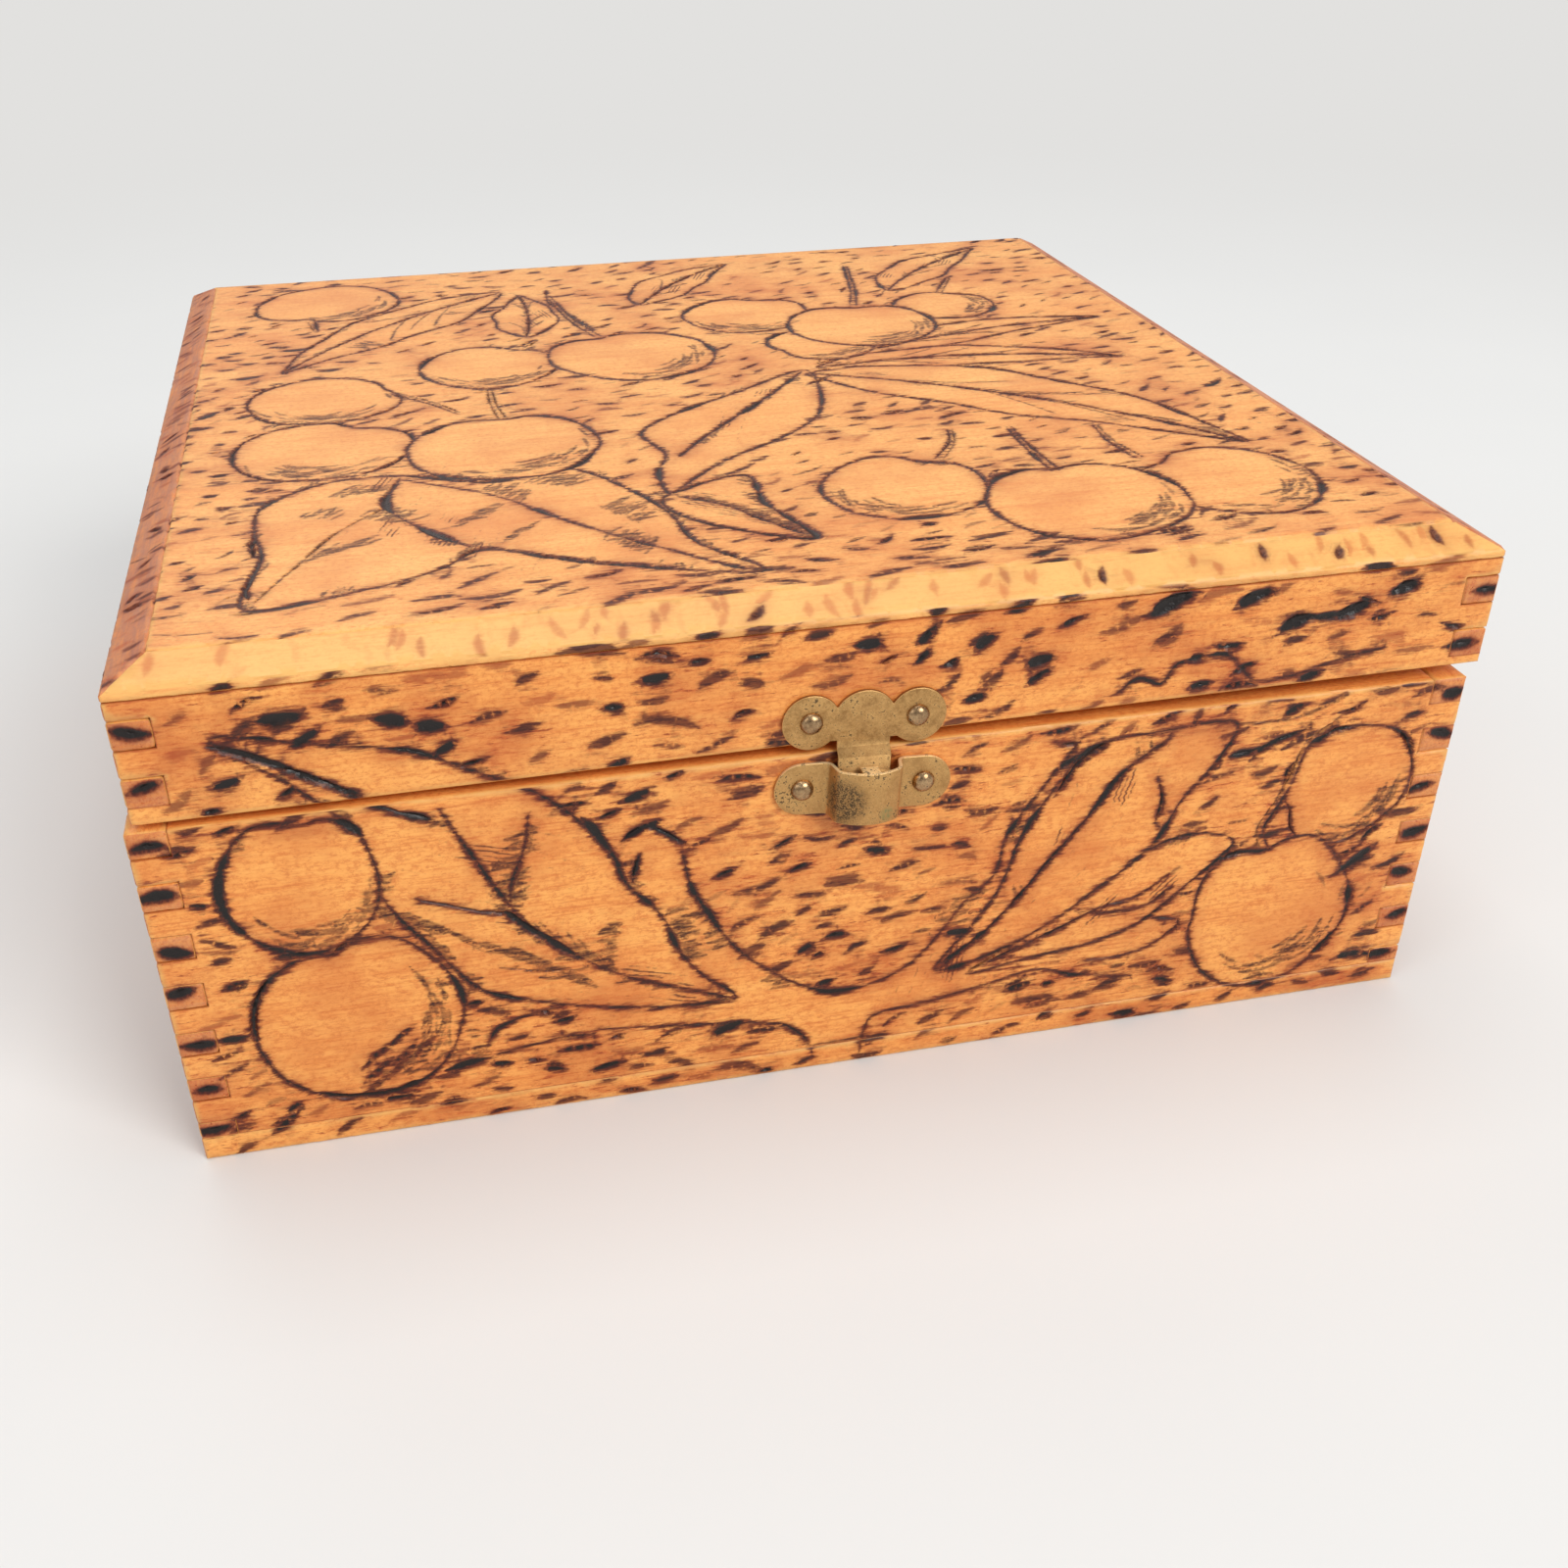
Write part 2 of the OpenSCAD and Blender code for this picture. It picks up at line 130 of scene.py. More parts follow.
class Recipe:
    """The node tree of one finish, or of the world."""

    def __init__(self, owner: Union[bpy.types.Material, bpy.types.World]) -> None:
        self.owner = owner
        owner.use_nodes = True
        self.tree = owner.node_tree
        self.tree.nodes.clear()

    def node(
        self,
        kind: str,
        settings: Optional[dict] = None,
        sockets: Optional[dict] = None,
        out: Union[int, str, None] = 0,
    ) -> Ink:
        """Adds a node.

        Args:
            kind: the node's type.
            settings: its properties.
            sockets: the values or links of its inputs, by name or number.
            out: the output that is wanted, or None for a node that has none.

        Returns:
            The output, ready for expressions.
        """
        made = self.tree.nodes.new(kind)
        for name, value in (settings or {}).items():
            setattr(made, name, value)
        for name, value in (sockets or {}).items():
            if isinstance(value, Ink):
                self.tree.links.new(value.socket, made.inputs[name])
            elif value is not None:
                made.inputs[name].default_value = value
        return Ink(self, None if out is None else made.outputs[out])

    def blend(self, factor: object, first: object, second: object, mode: str = "MIX") -> Ink:
        """Mixes two colours by a factor."""
        sockets = {0: factor, 6: first, 7: second}
        return self.node("ShaderNodeMix", {"data_type": "RGBA", "blend_type": mode}, sockets, 2)

    def place(self, scale: Sequence[float], shift: Sequence[float] = (0, 0, 0), turn: float = 0.0) -> Ink:
        """The object's own coordinates in millimetres: turned about Z, shifted, then scaled on each axis."""
        here = self.node("ShaderNodeTexCoord", out="Object")
        settings = {"vector_type": "POINT"}
        turned = self.node(
            "ShaderNodeMapping", settings, {"Vector": here, "Rotation": (0, 0, turn), "Scale": (1 / MM,) * 3},
        )
        moved = self.node("ShaderNodeVectorMath", {"operation": "ADD"}, {0: turned, 1: tuple(shift)})
        return self.node("ShaderNodeVectorMath", {"operation": "MULTIPLY"}, {0: moved, 1: tuple(scale)})

    def noise(self, where: Ink, scale: float = 1.0, detail: float = 2.0, rough: float = 0.5) -> Ink:
        """Smooth noise of 0 to 1 at a place."""
        sockets = {"Vector": where, "Scale": scale, "Detail": detail, "Roughness": rough}
        return self.node("ShaderNodeTexNoise", None, sockets, 0)

    def attribute(self, name: str) -> Ink:
        """A number that the mesh carries."""
        return self.node("ShaderNodeAttribute", {"attribute_name": name}, None, "Fac")

    def finish(
        self, shader: Ink, output: str = "ShaderNodeOutputMaterial"
    ) -> Union[bpy.types.Material, bpy.types.World]:
        """Links the shader to the output and hands the material or the world over."""
        self.node(output, None, {"Surface": shader}, None)
        return self.owner


@dataclass(frozen=True)
class BurntWood:
    """Varnished amber wood with burnt strokes, whose places the mesh carries as attributes."""

    pale: tuple = linear(250, 177, 94)
    warm: tuple = linear(234, 146, 70)
    deep: tuple = linear(206, 110, 50)
    # Painted highlight on the lid's up-sloping long-grain faces; also the colour of worn edges
    gold: tuple = linear(234, 181, 103)
    scorch: tuple = linear(150, 62, 26)
    rust: tuple = linear(188, 80, 32)
    brown: tuple = linear(62, 15, 6)
    char: tuple = linear(22, 14, 12)
    # The end grain's own colour, which on the sloping faces also stands in for a painted reflection
    end: tuple = linear(164, 104, 96)
    smoke: tuple = linear(116, 32, 9)
    roughness: float = 0.46
    varnish: float = 0.1
    sheen: float = 0.34
    smear: float = 0.5

    def dress(self, name: str, grain: Axis, seed: int) -> bpy.types.Material:
        """Makes the finish of one board.

        Args:
            name: the material's name.
            grain: the direction of the board's grain.
            seed: shifts the pattern, so that no two boards share it.

        Returns:
            The material.
        """
        r = Recipe(bpy.data.materials.new(name))
        turn = 0.0 if grain is Axis.ACROSS else math.pi / 2
        shift = (37.0 * seed, 53.0 * seed, 71.0 * seed)
        end = r.attribute("end_grain")
        burn = r.attribute("burn")
        heat = r.attribute("scorching")
        edge = r.attribute("edge")
        seam = r.attribute("seam")
        bevel = r.attribute("bevel")

        figure = r.noise(r.place((0.012, 0.05, 0.05), shift, turn), 1.0, 3.0)
        streak = r.noise(r.place((0.035, 0.45, 0.45), shift, turn), 1.0, 5.0, 0.66)
        fibre = r.noise(r.place((0.14, 2.2, 2.2), shift, turn), 1.0, 3.0, 0.65)
        pore = r.noise(r.place((0.6, 4.5, 4.5), shift, turn), 1.0, 1.0).rise(0.6, 0.72)
        mottle = r.noise(r.place((0.9, 1.5, 1.5), shift, turn), 1.0, 4.0, 0.78)
        rings = r.noise(r.place((0.9, 0.12, 1.6), shift, turn), 1.0, 4.0, 0.6)
        speck = r.noise(r.place((2.6, 2.6, 2.6), shift, turn), 1.0, 2.0)
        cloud = r.noise(r.place((0.05, 0.05, 0.05), shift), 1.0, 4.0, 0.6)
        ragged = r.noise(r.place((0.17, 1.25, 1.25), shift, turn), 1.0, 4.0, 0.68)
        licks = r.noise(r.place((0.27, 1.5, 1.5), shift[::-1], turn), 1.0, 4.0, 0.68)

        tone = streak * 0.45 + fibre * 0.3 + figure * 0.35 + mottle * 0.4 - 0.25
        wood = r.blend(tone.rise(0.32, 0.68), self.pale, self.warm)
        wood = r.blend(cloud.rise(0.4, 0.72) * 0.6, wood, self.deep)
        wood = r.blend((streak * 0.4 + fibre * 0.6).rise(0.52, 0.68) * 0.6, wood, self.deep)
        wood = r.blend(mottle.rise(0.48, 0.64) * 0.5, wood, self.deep)
        wood = r.blend(pore * 0.34, wood, self.deep)
        cut = r.blend((rings * 0.7 + speck * 0.3).rise(0.3, 0.75), self.end, self.deep)
        # Painted highlight: long-grain faces that slope up, the lid's bevels, are painted gold as if catching
        # the light
        wood = r.blend(bevel * (1 - end) * (0.85 - tone.rise(0.3, 0.8) * 0.55), wood, self.gold)
        # Partly painted reflection: end grain takes its own darker colour, more strongly on sloping faces to
        # imitate the dim purplish reflection of the surroundings there
        wood = r.blend(end * (bevel * 0.45 + 0.42), wood, cut)
        worn = edge.rise(1.3, 0.1) * (ragged * 0.6 + cloud * 0.5).rise(0.38, 0.62)
        wood = r.blend(worn * (1 - end) * 0.8, wood, self.gold)

        wild = (ragged - 0.5) * (1 - bevel.most(end) * 0.8)
        calm = 1 - r.attribute("fine") * 0.7
        haze = (burn + wild * 4.0).rise(-3.4, 0.0) * heat * cloud.rise(0.3, 0.7) * calm
        wood = r.blend(haze * 0.4, wood, self.scorch)
        ground = r.attribute("ground") * (1 - bevel)
        flecks = (licks + (cloud - 0.5) * 0.3 + haze * 0.03).rise(0.56, 0.66) * ground
        wood = r.blend(flecks * self.smear, wood, self.rust)
        wood = r.blend((licks + haze * 0.04).rise(0.63, 0.7) * ground * self.smear * 1.3, wood, self.smoke)
        tint = r.blend(heat.rise(0.25, 0.7), self.rust, self.smoke)
        fumes = (burn + wild * 3.8).rise(-0.8, 0.3) * (heat * 0.55 + 0.38) * calm
        wood = r.blend(fumes * 0.95, wood, tint)
        rim = (burn + wild * 1.7).rise(-0.34, 0.2) * heat.rise(0.42, 0.84)
        wood = r.blend(rim * (licks.rise(0.4, 0.6) * 0.45 + 0.5), wood, self.brown)

        pitch = r.attribute("hatch_phase") + wild * 1.5
        line = r.node("ShaderNodeMath", {"operation": "FLOOR"}, {0: pitch})
        each = r.node("ShaderNodeTexWhiteNoise", {"noise_dimensions": "1D"}, {"W": line}, 0)
        wave = r.node("ShaderNodeMath", {"operation": "PINGPONG"}, {0: pitch, 1: 0.5}) * 2
        broken = r.noise(r.place((0.6, 0.6, 0.6), shift), 1.0, 3.0, 0.6)
        hatch = r.attribute("hatch")
        strength = (hatch + each * 0.6 - 0.55 + (broken - 0.5) * 1.6).rise(0.0, 0.6)
        scratch = wave.rise(0.4, 0.9) * strength
        wood = r.blend(scratch * 0.8, wood, self.brown)
        wood = r.blend(hatch * 0.14, wood, self.scorch)

        black = (burn + wild * 1.2).rise(0.14, 0.56) * heat.rise(0.78, 0.96)
        wood = r.blend(black, wood, self.char)
        join = seam.rise(0.30, 0.02) * (cloud * 0.5 + ragged * 0.6).rise(0.2, 0.6)
        wood = r.blend(join * 0.6, wood, self.scorch)

        hills = fibre * 0.3 + mottle * 0.5 + streak * 0.3 - pore * 0.4 - scratch * 1.6 + black * speck * 2.0
        bump = r.node("ShaderNodeBump", None, {"Strength": 0.55, "Distance": 0.08 * MM, "Height": hills})
        rough = self.roughness + (fibre - 0.5) * 0.16 + end * 0.12 - black * 0.14
        sockets = {
            "Base Color": wood,
            "Roughness": rough,
            "Normal": bump,
            "Coat Weight": self.varnish,
            "Coat Roughness": 0.22,
            "Specular IOR Level": self.sheen,
            "IOR": 1.5,
        }
        return r.finish(r.node("ShaderNodeBsdfPrincipled", None, sockets))


@dataclass(frozen=True)
class AgedBrass:
    """Sheet brass gone dull, with dark specks and a little green; its rounded rim gets a painted highlight,
    and faces that look up a painted shade or highlight.
    """

    bright: tuple = linear(222, 180, 118)
    dull: tuple = linear(188, 144, 90)
    brown: tuple = linear(98, 64, 34)
    dark: tuple = linear(44, 32, 22)
    green: tuple = linear(150, 146, 96)
    roughness: float = 0.52

    def dress(
        self,
        name: str,
        seed: int,
        specks: float = 0.5,
        grime: float = 0.5,
        ledge: Optional[tuple] = None,
        tarnish: Sequence[float] = (),
        bloom: Sequence[float] = (),
    ) -> bpy.types.Material:
        """Makes the finish.

        Args:
            name: the material's name.
            seed: shifts the pattern.
            specks: how many dark specks there are, from 0 to 1.
            grime: how brown the whole is, from 0 to 1.
            ledge: the colour painted on faces that look up: a painted highlight when it is given, otherwise a
                brown painted shade.
            tarnish: the middle and the radius in millimetres of a browner place with more dark specks.
            bloom: the middle and the radius of a green spot.

        Returns:
            The material.
        """
        r = Recipe(bpy.data.materials.new(name))
        shift = (11.0 * seed, 17.0 * seed, 23.0 * seed)
        cloud = r.noise(r.place((0.3, 0.3, 0.3), shift), 1.0, 5.0, 0.65)
        grit = r.noise(r.place((1.6, 1.6, 1.6), shift), 1.0, 5.0, 0.75)
        fine = r.noise(r.place((5.0, 5.0, 5.0), shift), 1.0, 2.0)
        rub = r.noise(r.place((0.5, 5.0, 0.5), shift), 1.0, 3.0)
        edge = r.attribute("edge")
        metal = r.blend((cloud * 0.4 + grit * 0.7).rise(0.36, 0.8), self.dull, self.bright)
        metal = r.blend((1 - cloud * 0.6 - grit * 0.4).rise(0.4, 0.7) * grime, metal, self.brown)
        spots = (grit * 0.75 + cloud * 0.35).rise(0.66 - 0.12 * specks, 0.70 - 0.10 * specks)
        if len(tarnish):
            stain = self.spot(r, tarnish)
            spots = spots.most(stain * (grit * 0.6 + fine * 0.4).rise(0.46, 0.52))
            metal = r.blend(stain * 0.32, metal, self.brown)
        # Painted light on faces that look up: a brown painted shade, or with a ledge colour a painted
        # highlight
        lit = r.attribute("ledge").rise(0.25, 0.9)
        metal = r.blend(lit * (0.9 if ledge else 0.4), metal, ledge or self.brown)
        metal = r.blend(spots * 0.85, metal, self.dark)
        metal = r.blend((fine * 0.6 + grit * 0.4).rise(0.55, 0.66) * 0.5, metal, self.brown)
        if len(bloom):
            metal = r.blend(self.spot(r, bloom) * grit.rise(0.3, 0.6) * 0.8, metal, self.green)
        # Painted highlight: the rounded rims are painted bright
        metal = r.blend(edge * 0.7, metal, self.bright)
        rough = self.roughness + (grit - 0.5) * 0.3 + spots * 0.25 - edge * 0.1
        hills = grit * 0.6 + fine * 0.3 + rub * 0.2 - spots * 0.6
        bump = r.node("ShaderNodeBump", None, {"Strength": 0.5, "Distance": 0.05 * MM, "Height": hills})
        # Up-facing faces with a ledge colour are made less metallic, as part of their painted highlight
        solid = 1 - spots * 0.6 - lit * (0.4 if ledge else 0.0)
        sockets = {"Base Color": metal, "Metallic": solid, "Roughness": rough, "Normal": bump}
        return r.finish(r.node("ShaderNodeBsdfPrincipled", None, sockets))

    @staticmethod
    def spot(r: Recipe, place: Sequence[float]) -> Ink:
        """A soft round spot, given by its middle and its radius in millimetres."""
        gap = r.node(
            "ShaderNodeVectorMath", {"operation": "DISTANCE"},
            {0: r.place((1.0, 1.0, 1.0)), 1: tuple(place[:3])}, "Value",
        )
        return gap.rise(place[3], place[3] * 0.45)


@dataclass(frozen=True)
class PaleFloor:
    """A plain pale floor that also stands for the background."""

    colour: tuple = linear(226, 226, 224)
    mottled: tuple = linear(218, 218, 217)
    far: tuple = linear(226, 225, 223)
    near_mm: float = 320.0
    far_mm: float = 900.0

    def dress(self, name: str) -> bpy.types.Material:
        """Makes the finish, with the faintest mottling."""
        r = Recipe(bpy.data.materials.new(name))
        cloud = r.noise(r.place((0.01, 0.01, 0.01)), 1.0, 2.0)
        shade = r.blend(cloud.rise(0.2, 0.9) * 0.25, self.colour, self.mottled)
        paint = r.node("ShaderNodeBsdfPrincipled", None, {"Base Color": shade, "Roughness": 0.9})
        glow = r.node("ShaderNodeEmission", None, {"Color": self.far, "Strength": 1.0})
        spot = r.node("ShaderNodeVectorMath", {"operation": "LENGTH"}, {0: r.place((1.0, 1.0, 1.0))}, "Value")
        seen = r.node("ShaderNodeLightPath", out="Is Camera Ray")
        far = spot.rise(self.near_mm, self.far_mm) * seen
        return r.finish(r.node("ShaderNodeMixShader", None, {0: far, 1: paint, 2: glow}))


# ---------------------------------------------------------------- drawing with the poker


def smooth_line(points: Sequence[Point], closed: bool = False) -> np.ndarray:
    """Runs a smooth line through points.

    Args:
        points: the points that the line goes through, in millimetres.
        closed: whether the line returns to its start.

    Returns:
        The line as an array of points, STEP apart.
    """
    p = np.asarray(points, float)
    p = np.vstack([p[-1], p, p[:2]]) if closed else np.vstack([2 * p[0] - p[1], p, 2 * p[-1] - p[-2]])
    fine = []
    t = np.linspace(0, 1, 24, endpoint=False)[:, None]
    for a, b, c, d in zip(p[:-3], p[1:-2], p[2:-1], p[3:]):
        square, cube = 2 * a - 5 * b + 4 * c - d, 3 * b - a - 3 * c + d
        fine.append(0.5 * (2 * b + (c - a) * t + square * t**2 + cube * t**3))
    fine = np.vstack(fine + [p[-2][None]])
    run = np.concatenate([[0], np.cumsum(np.linalg.norm(np.diff(fine, axis=0), axis=1))])
    count = max(3, int(round(run[-1] / STEP)) + 1)
    at = np.linspace(0, run[-1], count)
    return np.column_stack([np.interp(at, run, fine[:, 0]), np.interp(at, run, fine[:, 1])])


def side_of(line: np.ndarray) -> np.ndarray:
    """The unit vector to the left of a line at each of its points."""
    way = np.gradient(line, axis=0)
    way /= np.maximum(np.linalg.norm(way, axis=1, keepdims=True), 1e-9)
    return np.column_stack([-way[:, 1], way[:, 0]])


def inside(points: np.ndarray, outline: np.ndarray) -> np.ndarray:
    """Which points lie inside a closed outline."""
    found = np.zeros(len(points), bool)
    x, y = points[:, 0], points[:, 1]
    for (ax, ay), (bx, by) in zip(outline, np.roll(outline, -1, axis=0)):
        if ay != by:
            crossed = ((ay > y) != (by > y)) & (x < (bx - ax) * (y - ay) / (by - ay) + ax)
            found ^= crossed
    return found


@dataclass(frozen=True)
class Mark:
    """One burnt stroke, with its half width at each point of its line."""

    line: np.ndarray
    half: np.ndarray
    depth: float
    heat: float


@dataclass(frozen=True)
class Hatch:
    """A patch of fine straight burnt lines."""

    centre: Point
    angle: float
    reach: float
    spread: float
    strength: float
    pitch: float = 0.9

    def local(self, points: np.ndarray) -> tuple[np.ndarray, np.ndarray, np.ndarray]:
        """Places points in the patch.

        Args:
            points: places on the side.

        Returns:
            How far along and across the patch they lie from its middle, and across which of its lines.
        """
        way = np.array([math.cos(self.angle), math.sin(self.angle)])
        out = np.array([-way[1], way[0]])
        lines = points @ out
        middle = np.array(self.centre)
        return (points - middle) @ way, lines - middle @ out, lines

    def scatter(self) -> np.ndarray:
        """Places spread over the patch, STEP apart."""
        size = max(self.reach, self.spread)
        steps = np.arange(-size, size + 0.01, STEP)
        near = np.column_stack([a.ravel() for a in np.meshgrid(steps, steps)]) + self.centre
        along, across, _ = self.local(near)
        return near[(along / self.reach) ** 2 + (across / self.spread) ** 2 < 1.1]


class Sketch:
    """The ornament of one side of the box, drawn in millimetres on that side."""

    def __init__(self, seed: int) -> None:
        self.rng = np.random.default_rng(seed)
        self.marks: list[Mark] = []
        self.hatches: list[Hatch] = []
        self.shapes: list[np.ndarray] = []
        self.fall = 0.45

    def visible(self, line: np.ndarray) -> list[np.ndarray]:
        """The runs of a line that no shape drawn before covers."""
        shown = np.ones(len(line), bool)
        for shape in self.shapes:
            shown &= ~inside(line, shape)
        cuts = np.flatnonzero(np.diff(shown.astype(int))) + 1
        return [
            run for run, seen in zip(np.split(line, cuts), np.split(shown, cuts)) if seen[0] and len(run) > 2
        ]

    def poke(self, line: np.ndarray, half: float, depth: float, heat: float = 1.0, thin: float = 0.4) -> None:
        """Draws a line as pokes that swell and taper.

        Args:
            line: the line.
            half: the half width where a poke is widest.
            depth: its depth there.
            heat: how dark it burns.
            thin: the width between the pokes, as a share of the widest.
        """
        for run in self.visible(line):
            along = np.concatenate([[0], np.cumsum(np.linalg.norm(np.diff(run, axis=0), axis=1))])
            swell = np.zeros(len(run))
            at = self.rng.uniform(-3, 3)
            while at < along[-1]:
                length = self.rng.uniform(4, 13)
                tall = self.rng.choice(
                    [0.15, 0.55, 1.0, 1.75], p=[0.25, 0.32, 0.27, 0.16],
                ) * self.rng.uniform(0.8, 1.15)
                near = np.clip(1 - ((along - at - length / 2) / (length / 2)) ** 2, 0, 1)
                swell = np.maximum(swell, tall * near**0.8)
                at += length * self.rng.uniform(0.75, 1.2)
            width = half * (thin + (1 - thin) * swell)
            ends = np.minimum(np.minimum(along, along[-1] - along) / 2.0, 1.0)
            wobble = np.cumsum(self.rng.normal(0, 0.05, (len(run), 2)), axis=0)
            wobble -= np.linspace(0, 1, len(run))[:, None] * wobble[-1]
            drawn = run + wobble * 0.7 + self.rng.normal(0, 0.03, (len(run), 2))
            self.marks.append(Mark(drawn, width * (0.35 + 0.65 * ends), depth, heat))

    def ticks(self, line: np.ndarray, turn: float, often: float = 0.08, reach: float = 2.6) -> None:
        """Shades one side of a line with combs of short thin strokes that start on it.

        Args:
            line: the line.
            turn: the direction of the strokes, in radians.
            often: how many combs there are for each point of the line.
            reach: the usual length of a stroke, in millimetres.
        """
        for run in self.visible(line):
            for _ in range(self.rng.poisson(len(run) * often)):
                first, lean = self.rng.integers(len(run)), turn + self.rng.normal(0, 0.12)
                way = np.array([math.cos(lean), math.sin(lean)])
                for at in run[first : first + self.rng.integers(3, 9)]:
                    long = reach * self.rng.uniform(0.4, 1.5)
                    middle = at + way * long * 0.42 + self.rng.normal(0, 0.25, 2)
                    self.dab(
                        tuple(middle), long, self.rng.uniform(0.17, 0.3), lean + self.rng.normal(0, 0.08),
                        0.05, self.rng.uniform(0.8, 1),
                    )

    def arcs(self, centre: Point, radius: float, shade: float, count: int) -> None:
        """Shades a fruit with short curved strokes along its rim.

        Args:
            centre: the fruit's middle.
            radius: its size.
            shade: the angle of the shaded side, in degrees.
            count: the number of strokes.
        """
        s = np.linspace(-1, 1, 5)
        for _ in range(count):
            apart = self.rng.normal(0, 26)
            out = radius * (self.rng.uniform(0.7, 0.94) - 0.18 * self.rng.random() * (abs(apart) < 26))
            turn = math.radians(shade + apart) + s * self.rng.uniform(1.0, 3.2) / out
            far = out + s * self.rng.uniform(-0.5, 0.5)
            line = np.column_stack([centre[0] + far * np.cos(turn), centre[1] + far * np.sin(turn)])
            half = self.rng.uniform(0.17, 0.36) * np.maximum(1 - s**2, 0.1) ** 0.6
            self.marks.append(Mark(line, half, 0.07, self.rng.uniform(0.65, 1.0)))

    def dab(self, at: Point, length: float, half: float, turn: float, depth: float, heat: float) -> None:
        """Presses the poker down once: a lens shape."""
        s = np.linspace(-1, 1, 5 if length > 3 else 4)
        lean = self.rng.uniform(-0.12, 0.12) * length
        x = s * length / 2
        y = lean * (1 - s**2)
        c, d = math.cos(turn), math.sin(turn)
        line = np.column_stack([at[0] + c * x - d * y, at[1] + d * x + c * y])
        skew = 1 + self.rng.uniform(-0.35, 0.35) * s
        self.marks.append(Mark(line, np.maximum(half * (1 - s**2) ** 0.8 * skew, 0.04), depth, heat))

    def fruit(
        self,
        centre: Point,
        radius: float,
        dip: float = 90.0,
        stem: Sequence[Point] = (),
        shade: float = -50.0,
        bold: Sequence[Point] = (),
    ) -> None:
        """Draws a round fruit.

        Args:
            centre: its middle.
            radius: its size.
            dip: the angle of the dip where the stem goes in, in degrees.
            stem: the points of the stem, from the dip outwards.
            shade: the angle of the shaded side.
            bold: the stretches of the outline that are gouged wide, as first and last angles.
        """
        turn = np.radians(np.arange(0, 360, 10.0))
        away = np.abs((turn - math.radians(dip) + math.pi) % (2 * math.pi) - math.pi)
        size = radius * (
            1 - 0.13 * np.exp(-((away / 0.24) ** 2)) + 0.035 * np.exp(-(((away - 0.7) / 0.3) ** 2))
        )
        size *= 1 + 0.02 * np.sin(2 * turn + self.rng.uniform(0, 6)) + self.rng.normal(0, 0.006, len(turn))
        size *= 1 + 0.016 * np.sin(3 * turn + centre[0]) + 0.012 * np.sin(5 * turn + centre[1])
        ring = np.column_stack([centre[0] + size * np.cos(turn), centre[1] + size * np.sin(turn)])
        line = smooth_line(ring, closed=True)
        start = self.rng.integers(len(line))
        self.poke(np.roll(line[:-1], start, axis=0), 0.6, 0.45, 1.0, 0.44)
        for first, last in bold:
            part = np.radians(np.linspace(first, last, 6))
            out = np.interp(part % (2 * math.pi), np.append(turn, 2 * math.pi), np.append(size, size[0]))
            gouge = np.column_stack([centre[0] + out * np.cos(part), centre[1] + out * np.sin(part)])
            self.poke(smooth_line(gouge), 0.9, 0.7, 1.0, 0.75)
        self.ticks(line, 0.15 + math.pi * self.rng.integers(2), 0.012, 2.0)
        self.arcs(centre, radius, shade, int(radius * 2.4))
        if len(stem):
            self.twig(stem, 0.75)
        self.shapes.append(ring)

    def leaf(
        self,
        base: Point,
        tip: Point,
        bow: float,
        left: float,
        right: float,
        bold: float = 1.0,
        veins: int = 4,
        shade: float = 1.0,
        jag: float = 0.0,
    ) -> None:
        """Draws a pointed leaf.

        Args:
            base: where it grows from.
            tip: its point.
            bow: how far its midrib bends to the left of the straight line.
            left: its greatest width to the left of the midrib.
            right: its greatest width to the right.
            bold: how strongly it is burnt.
            veins: the number of side veins on each side.
            shade: how strongly its folds are hatched.
            jag: the size of the teeth of its left edge.
        """
        a, c = np.array(base, float), np.array(tip, float)
        straight = (c - a) / np.linalg.norm(c - a)
        b = (a + c) / 2 + 2 * bow * np.array([-straight[1], straight[0]])
        t = np.linspace(0, 1, 26)
        rib = ((1 - t) ** 2)[:, None] * a + (2 * t * (1 - t))[:, None] * b + (t**2)[:, None] * c
        out = side_of(rib)
        swell = np.sin(math.pi * t**0.82) ** 0.9 * (1 - 0.12 * t)
        ripple = 1 + 0.07 * np.sin(t * 17 + self.rng.uniform(0, 6))
        teeth = jag * np.abs((t * 7) % 1 - 0.5) * (t > 0.15) * (t < 0.92)
        near = rib + out * (left * swell * ripple - teeth)[:, None]
        far = rib - out * (right * swell * (2 - ripple))[:, None]
        shape = np.vstack([near, far[::-1]])
        self.blade(shape, rib, bold, shade)
        for i in range(veins):
            at = int(4 + i * 15 / max(veins, 1) + self.rng.integers(0, 2))
            ahead = min(at + 5, 25)
            for edge, wide in ((near, left), (far, right)):
                if wide > 4 and self.rng.random() < 0.6:
                    end = rib[ahead] + (edge[ahead] - rib[ahead]) * self.rng.uniform(0.4, 0.8)
                    middle = (rib[at] + end) / 2 + (rib[at + 1] - rib[at]) * 0.3
                    self.poke(smooth_line([rib[at], middle, end]), 0.22, 0.1, 0.8, 0.5)
        self.shapes.append(shape)

